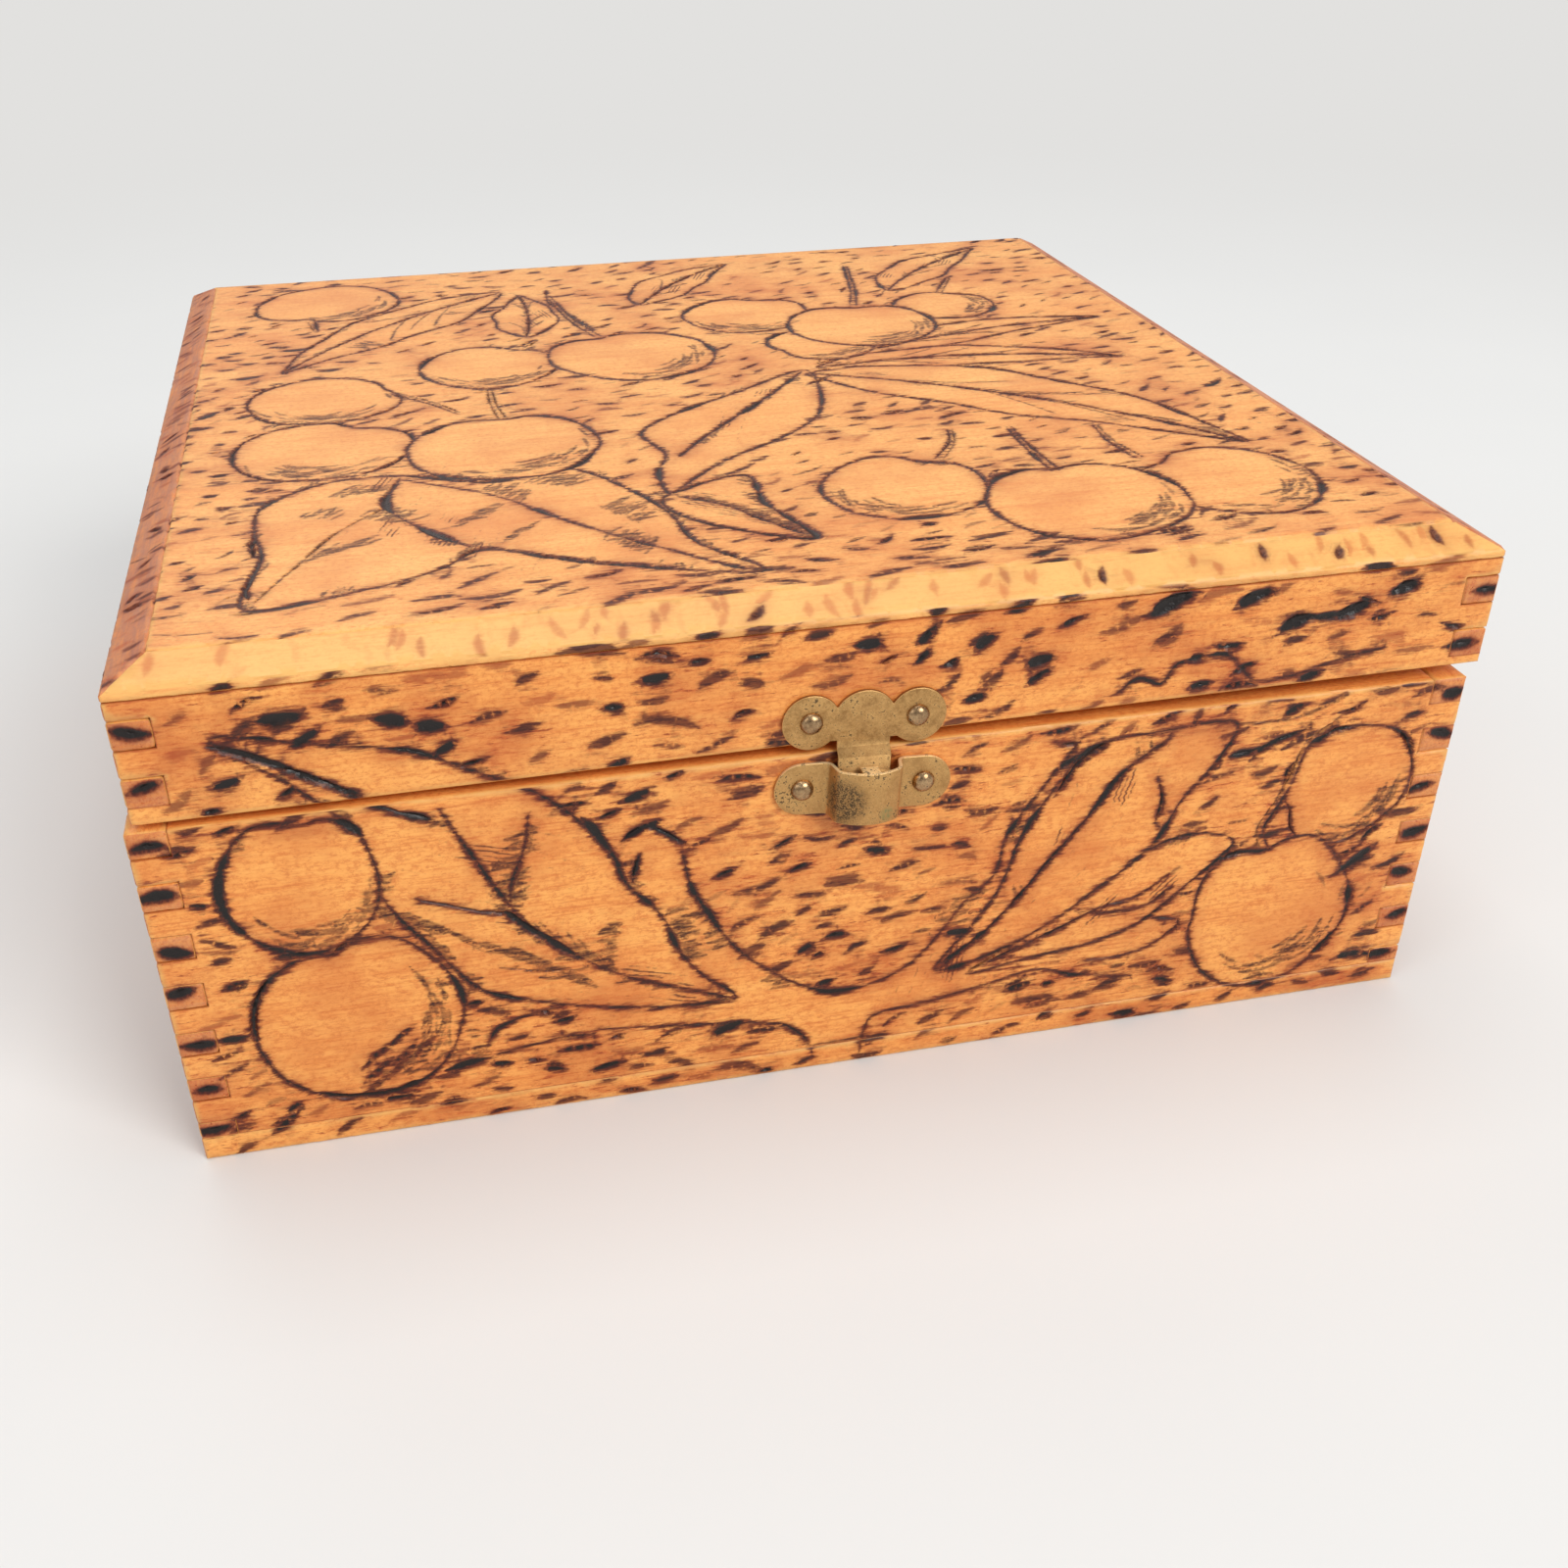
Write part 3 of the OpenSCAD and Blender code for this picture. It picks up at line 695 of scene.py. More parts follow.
    def blade(
        self, shape: np.ndarray, rib: Sequence[Point], bold: float = 1.0, shade: float = 1.0,
        lean: float = 0.3,
    ) -> None:
        """Draws the outline and the midrib of a leaf and shades it with fine strokes along both.

        Args:
            shape: the leaf's closed outline.
            rib: the points of its midrib, from the base to the tip.
            bold: how strongly it is burnt.
            shade: how much of it is hatched.
            lean: the turn of the fine strokes away from the midrib, in radians.
        """
        shape = np.asarray(shape, float)
        outline = smooth_line(shape[::2] if len(shape) > 30 else shape, closed=True)
        spine = smooth_line(rib)
        self.poke(outline, 0.54 * bold, 0.42, 1.0, 0.42)
        self.poke(spine, 0.62 * bold, 0.5, 1.0, 0.36)
        way = spine[-1] - spine[0]
        angle = math.atan2(way[1], way[0]) + lean * self.rng.choice([-1, 1])
        self.ticks(outline, angle + math.pi, 0.022 * shade)
        self.ticks(spine, angle, 0.05 * shade)
        self.ticks(spine, angle + 0.5, 0.03 * shade, 2.0)
        for _ in range(int(len(spine) * 0.06 * shade)):
            at = spine[self.rng.integers(3, len(spine) - 3)] + self.rng.normal(0, 2.0, 2)
            if inside(at[None], shape)[0]:
                size, strong = self.rng.uniform(2.4, 5.6), self.rng.uniform(0.6, 1.0)
                self.hatches.append(Hatch(tuple(at), angle, size, self.rng.uniform(1.4, 3.0), strong))

    def twig(self, points: Sequence[Point], half: float) -> None:
        """Draws a twig as two lines with a bare strip between them."""
        line = smooth_line(points)
        out = side_of(line) * np.linspace(half, half * 0.6, len(line))[:, None]
        self.poke(line + out, 0.42, 0.35, 1.0, 0.3)
        self.poke(line - out, 0.38, 0.3, 1.0, 0.3)
        self.shapes.append(np.vstack([line + out, (line - out)[::-1]]))

    def ground(
        self,
        low: Point,
        high: Point,
        tilt: float = 12.0,
        spacing: Point = (6.0, 2.6),
        bold: float = 1.0,
        length: Point = (2.6, 8.0),
        dark: float = 0.0,
    ) -> None:
        """Fills the bare ground round the shapes with dabs.

        Args:
            low: the corner with the lowest coordinates of the area.
            high: the opposite corner.
            tilt: the mean direction of the dabs, in degrees.
            spacing: the least distance between dabs along and across that direction.
            bold: how strongly they are burnt.
            length: the shortest and longest usual dab.
            dark: how much the share of the darkest dabs grows.
        """
        area = (high[0] - low[0]) * (high[1] - low[1])
        count = int(area / (spacing[0] * spacing[1]) * 6)
        spots = self.rng.uniform(low, high, (count, 2))
        free = np.ones(count, bool)
        margin = 1.0
        for shape in self.shapes:
            for shift in ((margin, 0), (-margin, 0), (0, margin), (0, -margin)):
                free &= ~inside(spots + shift, shape)
        spots = spots[free]
        angle = math.radians(tilt)
        squeeze = np.array(
            [[math.cos(angle), -math.sin(angle)], [math.sin(angle), math.cos(angle)]]
        ) / np.array(spacing)
        flat = spots @ squeeze
        start = self.rng.uniform(0, 6.28, 3)
        crowd = np.sin(spots[:, 0] * 0.13 + start[0]) + np.sin(
            spots[:, 1] * 0.19 + spots[:, 0] * 0.04 + start[1]
        )
        crowd = 0.25 * (crowd + np.sin(spots[:, 0] * 0.31 - spots[:, 1] * 0.23 + start[2]))
        kept = np.empty((len(flat), 2))
        used = 0
        for spot, place, dense in zip(spots, flat, crowd):
            if used and np.min(np.sum((kept[:used] - place) ** 2, axis=1)) < 1 - 0.35 * dense:
                continue
            kept[used] = place
            used += 1
            kind = self.rng.random() + 0.25 * dense + dark
            long = length[0] + (length[1] - length[0]) * self.rng.beta(1.5, 2.2) + (
                3 if self.rng.random() < 0.07 else 0
            )
            turn = angle + self.rng.normal(0, 0.2) + 0.25 * math.sin(spot[0] * 0.05 + spot[1] * 0.08)
            if kind < 0.24:
                depth, heat, half = 0.04, self.rng.uniform(0.42, 0.7), 0.46
            elif kind < 0.68:
                depth, heat, half = 0.16, self.rng.uniform(0.76, 0.9), 0.62
            else:
                depth, heat, half = 0.5, 1.0, 0.78
            half *= self.rng.uniform(0.6, 1.3) * (0.56 + 0.085 * long) * bold
            self.dab(tuple(spot), long, half, turn, depth * bold, heat)
            if self.rng.random() < 0.3:
                beside = spot + np.array(
                    [math.cos(turn + 1.9), math.sin(turn + 1.9)]
                ) * half * self.rng.choice([-1.3, 1.3])
                self.dab(
                    tuple(beside), long * self.rng.uniform(0.4, 0.8), half * 0.6,
                    turn + self.rng.normal(0, 0.12), depth * 0.6, heat * 0.85,
                )

    def anchors(self) -> np.ndarray:
        """The places where the mesh needs points so that every mark keeps its outline."""
        lines, edges, falls = [], [], []
        for mark in self.marks:
            out = side_of(mark.line)
            lines.append(mark.line)
            wide = mark.half > 0.14
            pressed = len(mark.line) <= 5
            for sign in (1, -1):
                edges.append((mark.line + sign * out * mark.half[:, None])[wide])
                falls.append(
                    (mark.line + sign * out * (mark.half + self.fall)[:, None])[:: 1 if pressed else 2]
                )
            if pressed:
                middle = (mark.line[:-1] + mark.line[1:]) / 2
                width = (mark.half[:-1] + mark.half[1:])[:, None] * 0.56
                away = (out[:-1] + out[1:]) / 2
                edges += [middle + away * width, middle - away * width]
                falls.append(mark.line[:1] + (mark.line[:1] - mark.line[1:2]) * 0.4)
                falls.append(mark.line[-1:] + (mark.line[-1:] - mark.line[-2:-1]) * 0.4)
        falls += [patch.scatter() for patch in self.hatches]
        return np.vstack(lines + edges + falls) if lines else np.empty((0, 2))

    def read(self, points: np.ndarray) -> dict[str, np.ndarray]:
        """Works out the ornament at points of the side.

        Args:
            points: places on the side, in millimetres.

        Returns:
            For each point: "burn", the distance into the burnt edge (negative outside), "scorching", "depth",
            "hatch", "hatch_phase", "ground", which is 1 outside the drawn shapes, and "fine", which is 1 at
            thin strokes.
        """
        count = len(points)
        burn, heat, depth = np.full(count, -6.0), np.zeros(count), np.zeros(count)
        halo, fine = np.full(count, -6.0), np.zeros(count)
        reach = 3.2
        order = np.argsort(points[:, 0])
        x, y = points[order].T
        for mark in self.marks:
            low, high = mark.line.min(0) - reach, mark.line.max(0) + reach
            first, last = np.searchsorted(x, (low[0], high[0]))
            band = y[first:last]
            near = order[first:last][(band > low[1]) & (band < high[1])]
            if not len(near):
                continue
            p = points[near][:, None, :]
            a, b = mark.line[None, :-1], mark.line[None, 1:]
            along = b - a
            t = np.clip(np.sum((p - a) * along, axis=2) / np.maximum(np.sum(along**2, axis=2), 1e-9), 0, 1)
            gap = np.linalg.norm(p - a - t[..., None] * along, axis=2)
            half = mark.half[None, :-1] * (1 - t) + mark.half[None, 1:] * t
            inner = half - gap
            best = np.argmax(inner, axis=1)
            rows = np.arange(len(near))
            value, width = inner[rows, best], half[rows, best]
            away = gap[rows, best]
            sunk = mark.depth * (width / mark.half.max()) * np.clip(
                1 - (away / np.maximum(width, 0.05)) ** 2, 0, 1,
            )
            depth[near] = np.maximum(depth[near], sunk)
            rank = value + 1.5 * (mark.heat - 1)
            wins = rank > halo[near]
            halo[near[wins]] = rank[wins]
            burn[near[wins]] = value[wins]
            heat[near[wins]] = mark.heat
            fine[near[wins]] = mark.half.max() < FINE
        hatch, phase = np.zeros(count), np.zeros(count)
        for patch in self.hatches:
            along, across, lines = patch.local(points)
            weight = np.clip(
                1.25 * (1 - (along / patch.reach) ** 2 - (across / patch.spread) ** 2), 0, 1,
            ) * patch.strength
            wins = (weight > hatch) | ((hatch == 0) & (np.hypot(along, across) < 3 * patch.reach))
            hatch[wins] = weight[wins]
            phase[wins] = lines[wins] / patch.pitch + 400
        ground = np.ones(count, bool)
        for shape in self.shapes:
            ground &= ~inside(points, shape)
        return {
            "burn": np.clip(burn, -FAR, 1.5),
            "scorching": heat,
            "depth": depth,
            "hatch": hatch,
            "hatch_phase": phase,
            "ground": ground.astype(float),
            "fine": fine,
        }


@dataclass(frozen=True)
class Side:
    """A flat side that carries a sketch: its directions and where its planes lie."""

    across: tuple[float, float, float]
    up: tuple[float, float, float]
    planes: tuple[float, ...]
    sketch: Sketch

    @property
    def normal(self) -> np.ndarray:
        """The direction that the side faces."""
        return np.cross(self.across, self.up)

    def flat(self, points: np.ndarray) -> np.ndarray:
        """Takes points in space to the side's own two coordinates."""
        return points @ np.array([self.across, self.up]).T


# ---------------------------------------------------------------- boards


class Boards:
    """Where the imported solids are, for telling faces that meet another piece from faces that show."""

    def __init__(self) -> None:
        corners: list[Vector] = []
        triangles: list[tuple[int, ...]] = []
        for node in NODES.values():
            start = len(corners)
            corners += [v.co / MM for v in node.data.vertices]
            node.data.calc_loop_triangles()
            triangles += [tuple(start + i for i in t.vertices) for t in node.data.loop_triangles]
        self.tree = BVHTree.FromPolygons(corners, triangles)

    def covered(self, point: np.ndarray, normal: np.ndarray) -> bool:
        """Whether another solid lies against a face at a point."""
        way = Vector(normal + np.array([0.0131, 0.0173, 0.0097])).normalized()
        start = Vector(point + normal * 0.06)
        hit, facing, _, _ = self.tree.ray_cast(start, way)
        return hit is not None and facing.dot(way) > 0


@dataclass
class CarvedBoard:
    """One wooden piece, made anew from its solid with worn edges and its ornament cut into its sides.

    Attributes:
        node: the solid that the piece stands for.
        body: the body that it rides on.
        grain: the direction of its grain.
        seed: sets its wear and its pattern apart from those of the other pieces.
        sides: the carved sides of the whole box.
        boards: where all the solids are.
        cell: the spacing in millimetres of the plain grid of points on a carved face.
        rib: the longest step along the rim of a carved face.
        bare_rib: the longest step along the rim of a bare face.
        row: how far inside the rim the first row of points lies.
        second_row: where a bare face's second row lies, as a multiple of row.
        worn: how far edges between two faces that show are worn down.
        seam_round: how far the edge of a face that shows is taken back where it meets a hidden one.
        clear: the least distance of the inner points from one another and from the rim.
        square: the grid leaves out its point where a square of this size has a point already.
        margin: the least distance of the grid from the rim.
        speck: faces smaller than this many square millimetres are left as they are.
        crease: edges that turn by more than this many degrees are shaded sharp.
    """

    node: str
    body: str
    grain: Axis
    seed: int
    sides: list[Side]
    boards: Boards
    cell: float = 2.4
    rib: float = 1.3
    bare_rib: float = 3.0
    row: float = 0.42
    worn: float = 0.20
    seam_round: float = 0.13
    clear: float = 0.26
    second_row: float = 3.0
    square: float = 0.75
    margin: float = 0.8
    speck: float = 8.0
    crease: float = 50.0

    def solid(self) -> tuple[np.ndarray, np.ndarray]:
        """Reads the solid's corners, merged, and its triangles, in millimetres."""
        mesh = NODES[self.node].data
        mesh.calc_loop_triangles()
        co = np.empty(3 * len(mesh.vertices))
        mesh.vertices.foreach_get("co", co)
        tri = np.empty(3 * len(mesh.loop_triangles), int)
        mesh.loop_triangles.foreach_get("vertices", tri)
        co = co.reshape(-1, 3) / MM
        _, first, inverse = np.unique(
            np.round(co / 0.002).astype(int), axis=0, return_index=True, return_inverse=True,
        )
        tri = inverse.reshape(-1)[tri.reshape(-1, 3)]
        keep = (tri[:, 0] != tri[:, 1]) & (tri[:, 1] != tri[:, 2]) & (tri[:, 2] != tri[:, 0])
        return co[first], tri[keep]

    def build(self) -> bpy.types.Object:
        """Makes the piece.

        Returns:
            The object, with its attributes and without its material.
        """
        corner, tri = self.solid()
        normal = np.cross(corner[tri[:, 1]] - corner[tri[:, 0]], corner[tri[:, 2]] - corner[tri[:, 0]])
        area = np.linalg.norm(normal, axis=1)
        normal /= np.maximum(area, 1e-12)[:, None]
        level = np.sum(normal * corner[tri[:, 0]], axis=1)
        owner = {}
        for f, (a, b, c) in enumerate(tri):
            owner[(a, b)], owner[(b, c)], owner[(c, a)] = f, f, f
        group = np.arange(len(tri))

        def root(f: int) -> int:
            """The first face of a face's flat group."""
            while group[f] != f:
                group[f] = group[group[f]]
                f = group[f]
            return f

        for (a, b), f in owner.items():
            g = owner[(b, a)]
            if normal[f] @ normal[g] > 1 - 1e-6 and abs(level[f] - level[g]) < 0.004:
                group[root(f)] = root(g)
        group = np.array([root(f) for f in range(len(tri))])

        faces: dict[int, np.ndarray] = {g: np.flatnonzero(group == g) for g in np.unique(group)}
        side: dict[int, Optional[Side]] = {}
        facing: dict[int, Facing] = {}
        mean: dict[int, np.ndarray] = {}
        for g, members in faces.items():
            biggest = members[np.argmax(area[members])]
            n = normal[biggest]
            mean[g] = n
            side[g] = next(
                (
                    s for s in self.sides
                    if n @ s.normal > 0.9999 and min(abs(level[biggest] - p) for p in s.planes) < 0.02
                ),
                None,
            )
            if side[g] is not None:
                facing[g] = Facing.CARVED
            elif area[members].sum() / 2 < self.speck:
                facing[g] = Facing.HIDDEN
            else:
                order = members[np.argsort(-area[members])][:4]
                spots = [corner[tri[f]].mean(0) for f in order]
                hidden = all(self.boards.covered(spot, n) for spot in spots)
                facing[g] = Facing.HIDDEN if hidden else Facing.BARE

        vertex = list(corner)
        parts: dict[tuple[int, int], list[int]] = {}
        lean: dict[int, dict[int, np.ndarray]] = {}
        arris: dict[int, list] = {g: [] for g in faces}
        joins: dict[int, list] = {g: [] for g in faces}
        rims: dict[int, list[tuple[int, int]]] = {g: [] for g in faces}
        for (a, b), f in owner.items():
            g, h = group[f], group[owner[(b, a)]]
            if g == h:
                continue
            rims[g].append((a, b))
            shown = [k for k in (g, h) if facing[k] is not Facing.HIDDEN]
            key = (min(a, b), max(a, b))
            if key not in parts:
                size = np.linalg.norm(corner[a] - corner[b])
                step = self.bare_rib if shown else math.inf
                if Facing.CARVED in (facing[g], facing[h]):
                    step = self.rib
                count = max(1, int(math.ceil(size / step)))
                inner = []
                for i in range(1, count):
                    inner.append(len(vertex))
                    vertex.append(corner[key[0]] + (corner[key[1]] - corner[key[0]]) * (i / count))
                parts[key] = [key[0], *inner, key[1]]
            convex = np.cross(mean[g], mean[h]) @ (corner[b] - corner[a]) > 0
            if convex and len(shown) == 2:
                arris[g].append((corner[a], corner[b]))
            elif shown:
                joins[g].append((corner[a], corner[b]))
            for v in parts[key]:
                for k in shown:
                    lean.setdefault(v, {})[k] = mean[k]

        total = len(vertex)
        place = [np.array(vertex)]
        fields = {name: [np.full(total, value)] for name, value in self.unmarked.items()}
        triangles: list[np.ndarray] = []
        end_grain: list[np.ndarray] = []
        slants: list[np.ndarray] = []
        grain = np.array(self.grain.value)
        for g, members in faces.items():
            n = mean[g]
            ends = min(1.0, abs(float(n @ grain)) * 2.0)
            loop: list[tuple[int, int]] = []
            for a, b in rims[g]:
                chain = parts[(min(a, b), max(a, b))]
                chain = chain if chain[0] == a else chain[::-1]
                loop += list(zip(chain[:-1], chain[1:]))
            if facing[g] is Facing.HIDDEN and len(loop) == len(rims[g]):
                triangles.append(tri[members])
                end_grain.append(np.full(len(members), ends))
                slants.append(np.zeros(len(members)))
                continue
            if side[g] is not None:
                u, v = np.array(side[g].across), np.array(side[g].up)
            else:
                u = np.cross(n, (0.0, 0.0, 1.0) if abs(n[2]) < 0.9 else (0.0, 1.0, 0.0))
                u /= np.linalg.norm(u)
                v = np.cross(n, u)
            axes = np.array([u, v]).T
            level_here = float(corner[tri[members[0], 0]] @ n)
            ring = sorted({i for pair in loop for i in pair})
            rim_points = place[0][ring] @ axes
            walls = np.array([[corner[a] @ axes, corner[b] @ axes] for a, b in rims[g]])
            extra = self.infill(side[g], facing[g], walls, loop, place[0], axes)
            flat_points = np.vstack([rim_points, extra]) if len(extra) else rim_points
            index = {v_id: i for i, v_id in enumerate(ring)}
            edges = [(index[a], index[b]) for a, b in loop]
            made = self.fill(flat_points, edges)
            base = sum(len(p) for p in place)
            lookup = np.concatenate([np.array(ring), np.arange(base, base + len(extra))]).astype(int)
            triangles.append(lookup[made])
            end_grain.append(np.full(len(made), ends))
            # Faces that slope up; the finish paints a highlight on them
            slants.append(np.full(len(made), float(0.2 < n[2] < 0.98)))

            reading = side[g].sketch.read(flat_points) if side[g] else None
            gap = self.distance(flat_points, walls)
            edge_gap = self.distance(flat_points, self.flat_walls(arris[g], axes))
            seam_gap = self.distance(flat_points, self.flat_walls(joins[g], axes))
            if facing[g] is Facing.HIDDEN:
                continue
            rim_count = len(ring)
            new = extra @ axes.T + n * level_here if len(extra) else np.empty((0, 3))
            if reading is not None and len(extra):
                fade = np.clip((gap[rim_count:] - 0.1) / 0.8, 0, 1)
                new = new - n * (reading["depth"][rim_count:] * fade)[:, None]
            place.append(new)
            here = {"edge": edge_gap, "seam": seam_gap}
            if reading is not None:
                here.update({name: reading[name] for name in DRAWN})
            for name, plain in self.unmarked.items():
                values = here.get(name, np.full(len(flat_points), plain))
                rim_values = fields[name][0]
                if name in ("edge", "seam"):
                    rim_values[ring] = np.minimum(rim_values[ring], values[:rim_count])
                elif name == "hatch_phase":
                    free = rim_values[ring] == plain
                    rim_values[ring] = np.where(free, values[:rim_count], rim_values[ring])
                else:
                    rim_values[ring] = np.maximum(rim_values[ring], values[:rim_count])
                fields[name].append(values[rim_count:])

        moved = place[0]
        rng = np.random.default_rng(self.seed)
        wear = rng.uniform(0.75, 1.25, total)
        for v, planes in lean.items():
            unique: list[np.ndarray] = []
            for n in planes.values():
                if all(n @ m < 0.999 for m in unique):
                    unique.append(n)
            amount = self.worn * wear[v] if len(unique) > 1 else self.seam_round
            for n in unique:
                moved[v] = moved[v] - n * amount
        flats = {"end_grain": np.concatenate(end_grain), "bevel": np.concatenate(slants)}
        return self.mesh(np.vstack(place), np.vstack(triangles), fields, flats)

    @property
    def unmarked(self) -> dict[str, float]:
        """What the attributes say where nothing is drawn."""
        return {"burn": -FAR, "edge": FAR, "seam": FAR, **dict.fromkeys(DRAWN[1:], 0.0)}

    @staticmethod
    def flat_walls(walls: list, axes: np.ndarray) -> np.ndarray:
        """Takes edges in space to a face's own two coordinates."""
        return np.array([[a @ axes, b @ axes] for a, b in walls]) if walls else np.empty((0, 2, 2))

    @staticmethod
    def distance(points: np.ndarray, walls: np.ndarray) -> np.ndarray:
        """The distance from each point to the nearest of some straight edges, FAR at most."""
        least = np.full(len(points), FAR)
        for a, b in walls:
            way = b - a
            t = np.clip((points - a) @ way / max(way @ way, 1e-9), 0, 1)
            least = np.minimum(least, np.linalg.norm(points - a - t[:, None] * way, axis=1))
        return least

    def infill(
        self,
        side: Optional[Side],
        facing: Facing,
        walls: np.ndarray,
        loop: list[tuple[int, int]],
        rim: np.ndarray,
        axes: np.ndarray,
    ) -> np.ndarray:
        """Chooses the points inside a flat face.

        Args:
            side: the side whose sketch the face carries, if it does.
            facing: what the face is.
            walls: the face's straight edges.
            loop: the short edges of its rim.
            rim: the places of the rim's points in space.
            axes: the face's two directions.

        Returns:
            The points, in the face's two coordinates.
        """
        if facing is Facing.HIDDEN:
            return np.empty((0, 2))
        start = np.array([rim[a] @ axes for a, _ in loop])
        stop = np.array([rim[b] @ axes for _, b in loop])
        way = stop - start
        way /= np.maximum(np.linalg.norm(way, axis=1, keepdims=True), 1e-9)
        inward = np.column_stack([-way[:, 1], way[:, 0]]) * self.row
        found = [start + inward, (start + stop) / 2 + inward * (1.0 if side else 0.0)]
        if side is not None:
            found.append(side.sketch.anchors())
        else:
            inward = inward * self.second_row
            found += [start + inward, (start + stop) / 2 + inward]
        low, high = walls.reshape(-1, 2).min(0), walls.reshape(-1, 2).max(0)
        near = np.vstack(found)
        near = near[np.all((near > low) & (near < high), axis=1)]
        near = self.thin(near, self.clear)
        if side is not None:
            xs = np.arange(low[0], high[0], self.cell)
            ys = np.arange(low[1], high[1], self.cell * 0.87)
            gx, gy = np.meshgrid(xs, ys)
            gx = gx + (np.arange(len(ys)) % 2)[:, None] * self.cell / 2
            grid = np.column_stack([gx.ravel(), gy.ravel()])
            taken = {tuple(k) for k in np.floor(near / self.square).astype(int)}
            cells = np.floor(grid / self.square).astype(int)
            grid = grid[[tuple(k) not in taken for k in cells]]
            grid = grid[self.distance(grid, walls) > self.margin]
            near = np.vstack([near, grid])
        near = near[self.distance(near, walls) > self.clear]
        crossed = np.zeros(len(near), bool)
        x, y = near[:, 0], near[:, 1]
        for (ax, ay), (bx, by) in walls:
            if ay != by:
                crossed ^= ((ay > y) != (by > y)) & (x < (bx - ax) * (y - ay) / (by - ay) + ax)
        return near[crossed]

    @staticmethod
    def thin(points: np.ndarray, cell: float) -> np.ndarray:
        """Keeps the first of the points in each small cell."""
        _, first = np.unique(np.floor(points / cell).astype(int), axis=0, return_index=True)
        return points[np.sort(first)]

    @staticmethod
    def fill(points: np.ndarray, edges: list[tuple[int, int]]) -> np.ndarray:
        """Fills a face with triangles.

        Args:
            points: the rim's points and the inner points.
            edges: the rim's edges, each with the face on its left.

        Returns:
            The triangles that lie on the face, with the face's own winding.
        """
        origin = points.mean(0)
        coords = [Vector(p) for p in points - origin]
        _, _, found, orig, _, _ = delaunay_2d_cdt(coords, edges, [], 0, 1e-6, True)
        names = [o[0] if len(o) else -1 for o in orig]
        tri = np.array([[names[i] for i in f] for f in found])
        a, b, c = points[tri[:, 0]], points[tri[:, 1]], points[tri[:, 2]]
        turn = (b[:, 0] - a[:, 0]) * (c[:, 1] - a[:, 1]) - (b[:, 1] - a[:, 1]) * (c[:, 0] - a[:, 0])
        if turn.sum() < 0:
            tri = tri[:, ::-1]
        owner: dict[tuple[int, int], int] = {}
        for f, (i, j, k) in enumerate(tri.tolist()):
            owner[(i, j)] = owner[(j, k)] = owner[(k, i)] = f
        rim = set(edges)
        kept = np.zeros(len(tri), bool)
        queue = [owner[e] for e in edges if e in owner]
        kept[queue] = True
        listed = tri.tolist()
        while queue:
            i, j, k = listed[queue.pop()]
            for e in ((i, j), (j, k), (k, i)):
                if e in rim:
                    continue
                other = owner.get((e[1], e[0]))
                if other is not None and not kept[other]:
                    kept[other] = True
                    queue.append(other)
        return tri[kept]

    def mesh(self, points: np.ndarray, triangles: np.ndarray, fields: dict, flats: dict) -> bpy.types.Object:
        """Makes the Blender object from its parts.

        Args:
            points: the points, in millimetres.
            triangles: the faces.
            fields: the points' attributes.
            flats: the faces' attributes.

        Returns:
            The object.
        """
        mesh = bpy.data.meshes.new(self.node + "_carved")
        mesh.from_pydata((points * MM).tolist(), [], triangles.tolist())
        for name, values in fields.items():
            kept = mesh.attributes.new(name, "FLOAT", "POINT")
            kept.data.foreach_set("value", np.concatenate(values).astype(np.float32))
        for name, values in flats.items():
            kept = mesh.attributes.new(name, "FLOAT", "FACE")
            kept.data.foreach_set("value", values.astype(np.float32))
        mesh.shade_smooth()
        mesh.set_sharp_from_angle(angle=math.radians(self.crease))
        piece = bpy.data.objects.new(self.node + "_carved", mesh)
        bpy.context.scene.collection.objects.link(piece)
        return piece

    def make(self, finish: BurntWood, slot: str) -> bpy.types.Object:
        """Builds the piece, dresses it and puts it in its node's place."""
        piece = self.build()
        piece.data.materials.append(finish.dress(self.node + "_wood", self.grain, self.seed))
        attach(piece, self.body)
        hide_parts(self.node)
        log.info("%s: %d points, %d faces", self.node, len(piece.data.vertices), len(piece.data.polygons))
        return piece


# ---------------------------------------------------------------- the ornament


